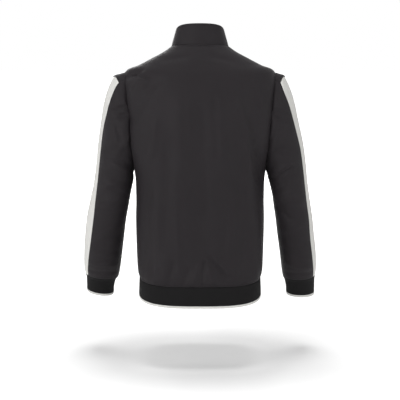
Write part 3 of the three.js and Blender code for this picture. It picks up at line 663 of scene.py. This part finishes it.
def body_panel(name, at, angle, edges, armholes):
    """A panel of the body from its rows' positions and the angles across each. armholes holds the
    columns that run along one."""
    points = body_point(at, angle)
    middle, half = (ARMHOLE_LOW + ARMHOLE_HIGH) / 2, (ARMHOLE_HIGH - ARMHOLE_LOW) / 2
    turn = np.degrees(np.arccos(np.clip((at - middle) / half, -1, 1)))
    across, toward, shared = distances(points, 1), 0, 0
    for column in armholes:
        distance = np.abs(across - across[:, [column]])
        points, spokes, share = dip_at_armhole(points, points[:, [column]], turn, distance)
        toward, shared = toward + spokes, shared + share
    normals = grid_normals(points, normal_of(body_plain, at, angle, 0.004, (0, 1)))
    normals = unit(normals * (1 - shared) + toward)
    thing, outer, cut = panel(name + "_cloth", points, normals, CLOTH, edges)
    declare(thing, name, cut)
    return outer, normals


ROWS = body_rows()[:, None]
across = shares(120, 380)[None, :]
edge = side_angle(ROWS, True)
back_outer, back_normals = body_panel("back", ROWS + 0 * across, edge * (2 * across - 1),
                                      "sewn sewn seam seam", (0, -1))
fronts = {}
for side_name, side in (("left", 1), ("right", -1)):
    across = shares(70, 190)[None, :]
    start, end = side_angle(ROWS, False), front_edge(BODY, ROWS, ZIP_OPENING)
    angle = side * (start + (end - start) * across)
    fronts[side] = body_panel(f"front_{side_name}", ROWS + 0 * across, angle,
                              "sewn sewn seam fold", (0,))

# %% [markdown]
# ## Collar, hem band and tipping
# The collar is the same smooth knit, doubled, with a rounded fold along its top. The hem band and the
# cuffs are rib knit: fine columns that stand out and sink in turn. The ribs are in the mesh, because
# they catch the light along the band's edge where a bump would leave it straight. The tipping is the
# last few rows of the same rib, knitted in off-white.

# %% Strips round the body
RIB_PITCH = 3.1
RIB_HEIGHT = 0.42
COLUMNS_PER_RIB = 5


def ribs(across, fade=1.0):
    """The lift of rib knit: a rounded wave across the cloth, one rib to a pitch."""
    wave = np.abs(np.sin(np.pi * across / RIB_PITCH)) ** 0.8
    return RIB_HEIGHT * (wave - 0.6) * fade


def strip(name, table, low, high, row_count, columns, wall, edges, ribbed):
    """A strip of a ring surface between two positions, from one front edge round to the other."""
    length = np.abs(smooth(table, "backZ", np.array([high]))[0] - smooth(table, "backZ", np.array([low]))[0])
    at = (low + (high - low) * shares(row_count, length))[:, None]
    at, turn = np.broadcast_arrays(at, np.linspace(-1, 1, columns)[None, :])
    angle = front_edge(table, at, ZIP_OPENING) * turn
    points = ring_point(table, at, angle)
    normals = normal_of(lambda a, b: ring_point(table, a, b), at, angle, 0.02, (0, 1))
    relief = ribs(distances(points, 1)) if ribbed else 0.0
    thing, outer, cut = panel(f"{name}_cloth", points, normals, wall, edges, relief)
    declare(thing, name, cut)
    return outer, normals


hem_columns = int(880 / RIB_PITCH) * COLUMNS_PER_RIB
collar_outer, collar_normals = strip("collar", COLLAR, 0, 1, 20, 220, DOUBLED,
                                     "sewn fold fold fold", False)
hem_outer, hem_normals = strip("hem_band", HEM, HEM_TIPPING, 1, 12, hem_columns, DOUBLED,
                               "cut seam fold fold", True)
strip("hem_trim", HEM, 0, HEM_TIPPING, 3, hem_columns, DOUBLED,
      "fold cut fold fold", True)

# %% [markdown]
# ## Sleeves
# Each sleeve is four pieces: a cap over the sleeve head whose lower edge is turned up and stands proud,
# the off-white panel that runs from under it to the cuff, and a black back and front.


# %% Sleeve pieces
def cap_edge(angle):
    """The ring that the cap's lower edge reaches: its tip outermost and its corners nearer the armhole."""
    return CAP_TIP - (CAP_TIP - CAP_CORNER) * np.abs(angle / CAP_ANGLE)


def panel_edge(key, at):
    """The off-white panel's edge, and above it the cap's corner angle."""
    below_cap = smooth(PANEL_EDGES, key, np.maximum(at, CAP_CORNER))
    return np.where(at < CAP_CORNER, PANEL_EDGES[key][0], below_cap)


def sleeve_piece(name, side, side_name, at, angle, edges, lift=0.0, from_armhole=True):
    """A patch of a sleeve, with its normals turned away from the middle of the arm."""
    points = sleeve_point(side, at, angle)
    middle = (points + sleeve_point(side, at, angle + 180)) / 2
    toward, shared = 0, 0
    if from_armhole:
        points, toward, shared = dip_at_armhole(points, points[:1], np.abs(angle), distances(points, 0))
    normals = unit(grid_normals(points, points - middle) * (1 - shared) + toward)
    thing, outer, cut = panel(f"{name}_{side_name}_cloth", points, normals, CLOTH, edges, lift)
    declare(thing, f"{name}_{side_name}", cut)
    return outer, normals


sleeve_rows = (shares(150, 620) * SLEEVE_END)[:, None]
sleeves = {}
for side_name, side in (("left", 1), ("right", -1)):
    angle = (shares(40, 110) * 2 - 1)[None, :] * CAP_ANGLE
    share = shares(26, 40)[:, None]
    at, angle = share * cap_edge(angle), angle + 0 * share
    swell = CAP_PROUD * step(share, 0.3, 1) * np.cos(np.pi / 2 * angle / CAP_ANGLE)
    cap = sleeve_piece("sleeve_cap", side, side_name, at, angle, "seam fold seam seam", swell)

    across = (shares(26, 70) * 2 - 1)[None, :]
    long = CAP_CORNER + (SLEEVE_END - CAP_CORNER) * shares(140, 570)[:, None]
    start = cap_edge(across * CAP_ANGLE)
    at = start + (long - CAP_CORNER) / (SLEEVE_END - CAP_CORNER) * (SLEEVE_END - start)
    back_key = "backLeft" if side > 0 else "backRight"
    back_side, front_side = panel_edge(back_key, long), panel_edge("frontEdge", long)
    angle = (back_side + front_side) / 2 + (back_side - front_side) / 2 * across
    stripe = sleeve_piece("sleeve_stripe", side, side_name, at, angle, "cut seam seam seam",
                          from_armhole=False)

    across = shares(64, 190)[None, :]
    rows = sleeve_rows + 0 * across
    halves = []
    for name, key, far in (("sleeve_back", back_key, 180), ("sleeve_front", "frontEdge", -180)):
        near = panel_edge(key, sleeve_rows)
        halves.append(sleeve_piece(name, side, side_name, rows, near + (far - near) * across,
                                   "seam seam seam seam"))
    sleeves[side] = (cap, stripe, *halves)

# %% [markdown]
# ## Cuffs
# A cuff is a doubled tube of the same rib as the hem band, narrower than the sleeve that is gathered
# into it, with its own off-white tipping.

# %% Cuffs
CUFF_HEIGHT, CUFF_RIBS = 56, 78

for side_name, side in (("left", 1), ("right", -1)):
    for name, low, high, row_count, slot, edges in (
        ("cuff", 0, 1 - CUFF_TIPPING, 12, "black_rib", "seam cut cut cut"),
        ("cuff_trim", 1 - CUFF_TIPPING, 1, 3, "off_white_tipping", "cut fold cut cut"),
    ):
        turns = np.linspace(0, 360, CUFF_RIBS * COLUMNS_PER_RIB, endpoint=False)[None, :]
        rows = low + (high - low) * shares(row_count, CUFF_HEIGHT * (high - low))
        at, angle = np.broadcast_arrays(rows[:, None], turns)
        points = cuff_point(side, at, angle)
        normals = normal_of(lambda a, b: cuff_point(side, a, b), at, angle, 0.02, (0, 1)) * side
        wave = np.abs(np.sin(np.pi * np.arange(turns.size) / COLUMNS_PER_RIB)) ** 0.8
        relief = (RIB_HEIGHT * (wave - 0.6))[None, :] + 0 * at
        thing, outer, cut = panel(f"{name}_{side_name}_cloth", points, normals, DOUBLED, edges, relief, True)
        declare(thing, f"{name}_{side_name}", cut)

# %% [markdown]
# ## Zip
# Two woven tapes lie behind the front edges and carry moulded teeth that lock in turn. A tooth is a
# small wedge repeated along the centre line, which the code lays out as one mesh a side.

# %% Zip tapes and teeth
TOOTH_PITCH = 3.0
TOOTH_LENGTH, TOOTH_REACH, TOOTH_HEIGHT = 1.7, 3.4, 2.5


def front_line(x, stations):
    """Points, outward normals and upward directions a fixed distance from the centre front."""
    points, normals, ups = [], [], []
    for table, low, high, count in stations:
        at = np.linspace(low, high, count)
        surface = body_point if table is BODY else (lambda a, b, t=table: ring_point(t, a, b))
        angle = np.sign(x) * front_edge(table, at, abs(x))
        up = unit(surface(np.minimum(at + 0.02, 1), angle) - surface(np.maximum(at - 0.02, 0), angle))
        around = unit(ring_point(table, at, angle + 1) - ring_point(table, at, angle - 1))
        points.append(surface(at, angle))
        normals.append(unit(np.cross(up, around)))
        ups.append(up)
    return tuple(np.concatenate(part) for part in (points, normals, ups))


TAPE_STATIONS = ((HEM, 0, 0.98, 20), (BODY, 0, 0.99, 200), (COLLAR, 0, 1, 24))
CHAIN_STATIONS = ((HEM, 0.2, 0.98, 20), (BODY, 0, 0.99, 200), (COLLAR, 0, SLIDER_AT - 0.01, 20))


def resample(path, normals, pitch):
    """Even stations along a path: points, normals and tangents, a pitch apart."""
    run = np.r_[0, np.cumsum(np.linalg.norm(np.diff(path, axis=0), axis=1))]
    where = np.arange(pitch / 2, run[-1], pitch)
    take = lambda values: np.stack([np.interp(where, run, values[:, k]) for k in range(3)], 1)
    points = take(path)
    return points, unit(take(normals)), unit(np.gradient(points, axis=0))


def repeat(name, template, template_faces, points, normals, tangents):
    """One mesh of a template copied to each station: x along the tangent, z along the normal."""
    sideways = unit(np.cross(normals, tangents))
    axes = np.stack([tangents, sideways, unit(np.cross(tangents, sideways))], 1)
    vertices = points[:, None, :] + np.einsum("vk,nkc->nvc", template, axes)
    offsets = (np.arange(len(points)) * len(template))[:, None, None]
    faces = (template_faces[None] + offsets).reshape(-1, template_faces.shape[1])
    return new_object(name, vertices.reshape(-1, 3), faces)


def rounded_block(length, width, height, bevel):
    """A block with chamfered edges: eight-sided rings at its two levels and two smaller end rings."""
    def ring(half_x, half_y, z):
        cut = min(bevel, half_x * 0.8, half_y * 0.8)
        corners = [(half_x - cut, half_y), (-half_x + cut, half_y),
                   (-half_x, half_y - cut), (-half_x, -half_y + cut),
                   (-half_x + cut, -half_y), (half_x - cut, -half_y),
                   (half_x, -half_y + cut), (half_x, half_y - cut)]
        return [(x, y, z) for x, y in corners]

    half_x, half_y, half_z = length / 2, width / 2, height / 2
    rings = [ring(half_x - bevel, half_y - bevel, -half_z), ring(half_x, half_y, -half_z + bevel),
             ring(half_x, half_y, half_z - bevel), ring(half_x - bevel, half_y - bevel, half_z)]
    vertices = np.array([point for one in rings for point in one])
    faces = [[r * 8 + k, r * 8 + (k + 1) % 8, r * 8 + 8 + (k + 1) % 8, r * 8 + 8 + k]
             for r in range(3) for k in range(8)]
    faces += [[0, 3, 2, 1], [0, 7, 4, 3], [7, 6, 5, 4], [24, 25, 26, 27], [24, 27, 28, 31], [28, 29, 30, 31]]
    return vertices, np.array(faces)


for side_name, side in (("left", 1), ("right", -1)):
    reach = np.array([TAPE_EDGE, 3, ZIP_OPENING, 8, 11.5, TAPE_REACH]) * side
    lines = [front_line(x, TAPE_STATIONS) for x in reach]
    points = np.stack([line[0] for line in lines], 1)
    normals = np.stack([line[1] for line in lines], 1)
    tape, _, cut = panel(f"zip_tape_{side_name}_cloth", points, normals, TAPE_WALL, "cut cut cut cut",
                         sunk=TAPE_SUNK)
    declare(tape, f"zip_tape_{side_name}", cut)

    path, outwards, _ = front_line(side * 1.7, CHAIN_STATIONS)
    points, outwards, tangents = resample(path, outwards, TOOTH_PITCH)
    points = points - outwards * (TOOTH_HEIGHT / 2 - 0.2) + tangents * (TOOTH_PITCH / 2 if side > 0 else 0)
    block, faces = rounded_block(TOOTH_LENGTH, TOOTH_REACH, TOOTH_HEIGHT, 0.35)
    teeth = repeat(f"zip_teeth_{side_name}", block, faces, points, outwards, tangents)
    declare(teeth, f"zip_chain_{side_name}")
    print("teeth", side_name, len(points))

# %% [markdown]
# ## Stitching
# Thread holds the pieces together: a row of topstitching below the neck seam, round the armholes,
# beside the off-white panels, above the hem band and the cuffs and along the zip. Each stitch is a
# short bead that dips into the cloth at both ends.

# %% Stitches
STITCH_LENGTH, STITCH_PITCH, STITCH_RADIUS = 2.7, 3.5, 0.26


def stitch_template():
    """A bead of thread: five-sided rings along x whose radius and height follow half a sine."""
    sides = 5
    along = np.linspace(-1, 1, 4)
    radius = STITCH_RADIUS * np.sqrt(np.maximum(1 - along ** 2 * 0.92, 0))
    height = 0.25 * (1 - along ** 2) - 0.12
    turn = np.linspace(0, 2 * np.pi, sides, endpoint=False)
    x = np.repeat(along * STITCH_LENGTH / 2, sides)
    y = (radius[:, None] * np.cos(turn)).ravel()
    z = (height[:, None] + radius[:, None] * np.sin(turn)).ravel()
    index = np.arange(len(x)).reshape(-1, sides)
    turned = np.roll(index, -1, 1)
    a, b, c, d = index[:-1], turned[:-1], turned[1:], index[1:]
    tube = np.concatenate([np.stack([a, b, c], -1).reshape(-1, 3), np.stack([a, c, d], -1).reshape(-1, 3)])
    fan = np.array([[0, 2, 1], [0, 3, 2], [0, 4, 3]])
    return np.stack([x, y, z], 1), np.concatenate([tube, fan, fan[:, ::-1] + index[-1, 0]])


def at_distance(grid, normals, axis, from_end, inset):
    """The line a fixed distance from a panel's edge: each crossing line is read at that distance."""
    grid, normals = (np.moveaxis(a, axis, 0) for a in (grid, normals))
    if from_end:
        grid, normals = grid[::-1], normals[::-1]
    run = distances(grid, 0)
    index = np.clip((run < inset).sum(0), 1, len(grid) - 1)
    columns = np.arange(grid.shape[1])
    low, high = run[index - 1, columns], run[index, columns]
    t = ((inset - low) / np.maximum(high - low, 1e-6))[:, None]
    blend = lambda a: a[index - 1, columns] * (1 - t) + a[index, columns] * t
    return blend(grid), unit(blend(normals))


stitch_lines = [
    at_distance(back_outer, back_normals, 0, True, 4),
    at_distance(back_outer, back_normals, 0, False, 4.5),
    at_distance(collar_outer, collar_normals, 0, False, 5),
    at_distance(collar_outer, collar_normals, 0, True, 6),
]
HOLE = slice(*np.searchsorted(ROWS[:, 0], (ARMHOLE_LOW - 1e-6, ARMHOLE_HIGH + 1e-6)))
for column_end in (False, True):
    line, outward = at_distance(back_outer, back_normals, 1, column_end, 4)
    stitch_lines.append((line[HOLE], outward[HOLE]))
for side in (1, -1):
    front_outer, front_normals = fronts[side]
    stitch_lines.append(at_distance(front_outer, front_normals, 1, True, 6.5))
    stitch_lines.append(at_distance(front_outer, front_normals, 0, False, 4.5))
    stitch_lines.append(at_distance(front_outer, front_normals, 0, True, 4))
    line, outward = at_distance(front_outer, front_normals, 1, False, 4)
    stitch_lines.append((line[HOLE], outward[HOLE]))
    cap, stripe, half_back, half_front = sleeves[side]
    stitch_lines.append(at_distance(*cap, 0, True, 5))
    for half in (half_back, half_front):
        line, outward = at_distance(*half, 1, False, 3)
        start = int(0.1 * len(line))
        stitch_lines.append((line[start:], outward[start:]))
        stitch_lines.append(at_distance(*half, 0, True, 4))

template, template_faces = stitch_template()
parts = [resample(line, outward, STITCH_PITCH) for line, outward in stitch_lines]
points, normals, tangents = (np.concatenate([part[k] for part in parts]) for k in range(3))
stitches = repeat("stitching", template, template_faces, points, normals, tangents)
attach(stitches, BODY_NAME)
print("stitches", len(points))

# %% [markdown]
# ## Shader maths
# A small class wraps a socket so that sums on values read as sums. Anything else, such as a noise or a
# wave, comes from one method that sets a node's choices first and then its sockets.


# %% Shader helper
class Value:
    """A number that varies over a surface; each operator adds one Math node."""

    def __init__(self, finish, socket):
        self.finish, self.socket = finish, socket

    def maths(self, operation, first, second):
        return self.finish.node("ShaderNodeMath", {"operation": operation}, {0: first, 1: second})

    def __add__(self, other):
        return self.maths("ADD", self, other)

    def __sub__(self, other):
        return self.maths("SUBTRACT", self, other)

    def __mul__(self, other):
        return self.maths("MULTIPLY", self, other)

    def __rsub__(self, other):
        return self.maths("SUBTRACT", other, self)

    def __pow__(self, other):
        return self.maths("POWER", self, other)

    __radd__ = __add__
    __rmul__ = __mul__


class Finish:
    """A material whose nodes are added by node(); shade() sets the shader's own sockets."""

    def __init__(self, name):
        self.material = bpy.data.materials.new(name)
        self.material.use_nodes = True
        self.tree = self.material.node_tree
        self.shader = self.tree.nodes["Principled BSDF"]

    def set(self, socket, value):
        if isinstance(value, Value):
            self.tree.links.new(value.socket, socket)
        else:
            socket.default_value = value

    def node(self, kind, settings, inputs, output=0):
        made = self.tree.nodes.new(kind)
        for key, value in settings.items():
            setattr(made, key, value)
        for key, value in inputs.items():
            self.set(made.inputs[key], value)
        return Value(self, made.outputs[output])

    def shade(self, **sockets):
        for key, value in sockets.items():
            self.set(self.shader.inputs[key.replace("_", " ")], value)
        return self.material

    def mix(self, amount, low, high):
        """A colour between two, by an amount."""
        return self.node("ShaderNodeMix", {"data_type": "RGBA"}, {0: amount, 6: low, 7: high}, 2)

    def noise(self, where, scale, detail=3, roughness=0.5):
        return self.node("ShaderNodeTexNoise", {}, {"Vector": where, "Scale": scale, "Detail": detail,
                                                    "Roughness": roughness})

    def wave(self, where, scale, direction, distortion=0.0):
        return self.node("ShaderNodeTexWave", {"wave_type": "BANDS", "bands_direction": direction},
                         {"Vector": where, "Scale": scale, "Distortion": distortion, "Detail": 1.0})

    def cloth_map(self):
        return self.node("ShaderNodeUVMap", {"uv_map": "cloth"}, {})

    def place(self):
        return self.node("ShaderNodeTexCoord", {}, {}, "Object")

    def bump(self, height, distance, strength=1.0):
        return self.node("ShaderNodeBump", {}, {"Height": height, "Distance": distance, "Strength": strength})


# %% [markdown]
# ## Finishes
# Smooth tricot is polyester, knitted in fine upright wales that give it a soft low sheen. Its black is
# a little warm. The rib is the same yarn in a more open knit, so it looks darker and has no sheen. The
# off-white yarn is the same cloth undyed. Tiny changes of tone keep each from looking like plastic.

# %% Cloth finishes
WALES_PER_METRE = 1250.0
WAVE_CYCLE = 20.0 / (2 * np.pi)  # one unit of a Wave texture's scale holds this many bands


def knit(name, dark, light, roughness, sheen, tint, bump_height):
    """Fine wales across and courses along, slow changes of tone and a soft fibre sheen."""
    finish = Finish(name)
    where = finish.cloth_map()
    wales = finish.wave(where, WALES_PER_METRE / WAVE_CYCLE, "X", 0.6)
    courses = finish.wave(where, 0.8 * WALES_PER_METRE / WAVE_CYCLE, "Y", 0.6)
    slub = finish.noise(where, 900.0, 2)
    tone = finish.noise(finish.place(), 9.0, 4, 0.6)
    grain = finish.noise(where, 260.0, 3)
    amount = tone * 0.55 + grain * 0.3 + wales * 0.15
    height = wales * 0.6 + courses * 0.25 + slub * 0.35
    return finish.shade(Base_Color=finish.mix(amount, dark, light), Roughness=roughness + 0.12 * grain,
                        Sheen_Weight=sheen, Sheen_Roughness=0.45, Sheen_Tint=tint, Specular_IOR_Level=0.11,
                        Normal=finish.bump(height, bump_height))


black_knit = knit("black_knit", (0.0136, 0.0116, 0.0131, 1), (0.0216, 0.0186, 0.0207, 1), 0.50, 0.03,
                  (0.8, 0.78, 0.8, 1), 0.00010)
black_rib = knit("black_rib", (0.0052, 0.0049, 0.0052, 1), (0.0096, 0.0091, 0.0095, 1), 0.66, 0.01,
                 (0.8, 0.8, 0.8, 1), 0.00016)
off_white = knit("off_white_knit", (0.66, 0.655, 0.625, 1), (0.74, 0.735, 0.71, 1), 0.58, 0.08,
                 (1, 1, 1, 1), 0.00010)
off_white_rib = knit("off_white_tipping", (0.64, 0.635, 0.61, 1), (0.73, 0.725, 0.70, 1), 0.66, 0.05,
                     (1, 1, 1, 1), 0.00016)
tape_weave = knit("zip_tape", (0.010, 0.010, 0.010, 1), (0.018, 0.018, 0.018, 1), 0.75, 0.0,
                  (1, 1, 1, 1), 0.00012)


# %% [markdown]
# The teeth are moulded in black acetal, satin and faintly scuffed. The slider, tab, stops and box are
# die-cast and plated dark. Both are mottled at random in tone and gloss.

# %% Hard finishes
def hard(name, dark, light, roughness, metallic, scale):
    """A moulded or cast skin: fine mottling of tone and gloss over a faint grain."""
    finish = Finish(name)
    where = finish.place()
    mottle = finish.noise(where, scale, 5, 0.65)
    grain = finish.noise(where, scale * 9, 2)
    return finish.shade(Base_Color=finish.mix(mottle, dark, light), Roughness=roughness + 0.25 * mottle,
                        Metallic=metallic, Normal=finish.bump(grain, 0.00003))


teeth_skin = hard("zip_teeth", (0.012, 0.012, 0.013, 1), (0.024, 0.024, 0.025, 1), 0.30, 0.0, 700.0)
metal_skin = hard("zip_metal", (0.16, 0.16, 0.165, 1), (0.34, 0.34, 0.35, 1), 0.22, 1.0, 420.0)

FINISHES = {"black_knit": black_knit, "black_rib": black_rib, "off_white_knit": off_white,
            "off_white_tipping": off_white_rib, "zip_tape": tape_weave, "zip_teeth": teeth_skin,
            "zip_metal": metal_skin}
slot_of = {entry["node"]: entry["material_slot"] for entry in frame["record"]["subparts"]}
for node, thing in pieces.items():
    thing.data.materials.append(FINISHES[slot_of[node]])
stitches.data.materials.append(black_rib)
for node in ("zip_slider", "pull_tab", "zip_box", "zip_stop_left", "zip_stop_right"):
    for material_slot in frame["nodes"][node].material_slots:
        material_slot.material = metal_skin
print("finishes", len(FINISHES))

# %% [markdown]
# ## Light, floor and backdrop
# The jacket hangs above a white floor under big soft lamps. The floor and the world are white to the
# camera and in reflections, and much dimmer to everything else, so the backdrop is clean while the
# cloth is lit at a plain level and still casts its soft shadow. That shadow is partly real and partly
# painted: inside an oval under the jacket the floor's white glow is held back, which darkens it there.

# %% Stage
FLOOR_LEVEL = -0.84


def whitened(tree, lit, glow, output, surface):
    """Adds a white glow that only the camera and mirror-like rays see."""
    path = tree.nodes.new("ShaderNodeLightPath")
    seen = tree.nodes.new("ShaderNodeMath")
    seen.operation = "MAXIMUM"
    tree.links.new(path.outputs["Is Camera Ray"], seen.inputs[0])
    tree.links.new(path.outputs["Is Glossy Ray"], seen.inputs[1])
    mixed = tree.nodes.new("ShaderNodeMixShader")
    tree.links.new(seen.outputs[0], mixed.inputs[0])
    tree.links.new(lit.outputs[0], mixed.inputs[1])
    tree.links.new(glow.outputs[0], mixed.inputs[2])
    tree.links.new(mixed.outputs[0], output.inputs[surface])


world = bpy.data.worlds.new("studio")
bpy.context.scene.world = world
world.use_nodes = True
tree = world.node_tree
room = tree.nodes["Background"]
room.inputs["Color"].default_value = (1, 1, 1, 1)
room.inputs["Strength"].default_value = 0.22
backdrop = tree.nodes.new("ShaderNodeBackground")
backdrop.inputs["Strength"].default_value = 1.0
backdrop.inputs["Color"].default_value = (1, 1, 1, 1)
whitened(tree, room, backdrop, tree.nodes["World Output"], "Surface")

floor_mesh = bpy.data.meshes.new("floor")
half = 9.0
floor_mesh.from_pydata([(-half, -half, FLOOR_LEVEL), (half, -half, FLOOR_LEVEL), (half, half, FLOOR_LEVEL),
                        (-half, half, FLOOR_LEVEL)], [], [(0, 1, 2, 3)])
floor = bpy.data.objects.new("floor", floor_mesh)
bpy.context.scene.collection.objects.link(floor)
backdrop_paint = Finish("floor")
tree = backdrop_paint.tree
tree.nodes.remove(backdrop_paint.shader)
matt = tree.nodes.new("ShaderNodeBsdfDiffuse")
matt.inputs["Color"].default_value = (1, 1, 1, 1)
split = tree.nodes.new("ShaderNodeSeparateXYZ")
tree.links.new(backdrop_paint.place().socket, split.inputs[0])
east, north = (Value(backdrop_paint, split.outputs[k]) for k in (0, 1))
away = (east * east + north * north) ** 0.5
# Painted shadow: an oval under the jacket, inside which the floor's white glow is held back, so the floor
# there is darker than the lamps' real shadow alone makes it.
PAINTED_SHADOW_HALF = (0.50, 0.27)
painted_shadow_oval = ((east * (1 / PAINTED_SHADOW_HALF[0])) ** 2.0 + (north * (1 / PAINTED_SHADOW_HALF[1])) ** 2.0) ** 0.5


def ramp(value, low, high, top):
    """0 below low and top above high, smooth between."""
    return backdrop_paint.node("ShaderNodeMapRange", {"interpolation_type": "SMOOTHSTEP"},
                               {0: value, 1: low, 2: high, 3: 0.0, 4: top})


# The glow is two ramps. The first is the painted shadow: none inside the oval, 0.3 outside it. The second
# whitens the far floor, where the lamps fall off.
glow = backdrop_paint.node("ShaderNodeEmission", {}, {"Color": ramp(painted_shadow_oval, 0.5, 1.5, 0.30)
                                                      + ramp(away, 0.75, 2.4, 0.8)})
both = tree.nodes.new("ShaderNodeAddShader")
tree.links.new(matt.outputs[0], both.inputs[0])
tree.links.new(glow.socket, both.inputs[1])
whitened(tree, matt, both, tree.nodes["Material Output"], "Surface")
floor_mesh.materials.append(backdrop_paint.material)


def softbox(name, place, aim, size, power):
    """A square lamp that faces the point it lights."""
    data = bpy.data.lights.new(name, "AREA")
    data.shape = "SQUARE"
    data.size = size
    data.energy = power
    lamp = bpy.data.objects.new(name, data)
    lamp.location = place
    away = np.array(place) - np.array(aim)
    flat = np.hypot(away[0], away[1])
    lamp.rotation_euler = (np.arctan2(flat, away[2]), 0, np.arctan2(away[0], -away[1]))
    bpy.context.scene.collection.objects.link(lamp)
    return lamp


MIDDLE = (0.0, 0.0, -0.35)
softbox("overhead", (0.0, 0.05, 5.5), MIDDLE, 2.4, 150)
softbox("key_left", (2.0, 2.3, 0.6), MIDDLE, 1.1, 45)
softbox("key_right", (-2.3, 2.2, 0.5), MIDDLE, 1.3, 26)
softbox("front", (0.6, -2.6, 0.9), MIDDLE, 1.8, 40)
bpy.context.scene.view_settings.view_transform = "Standard"
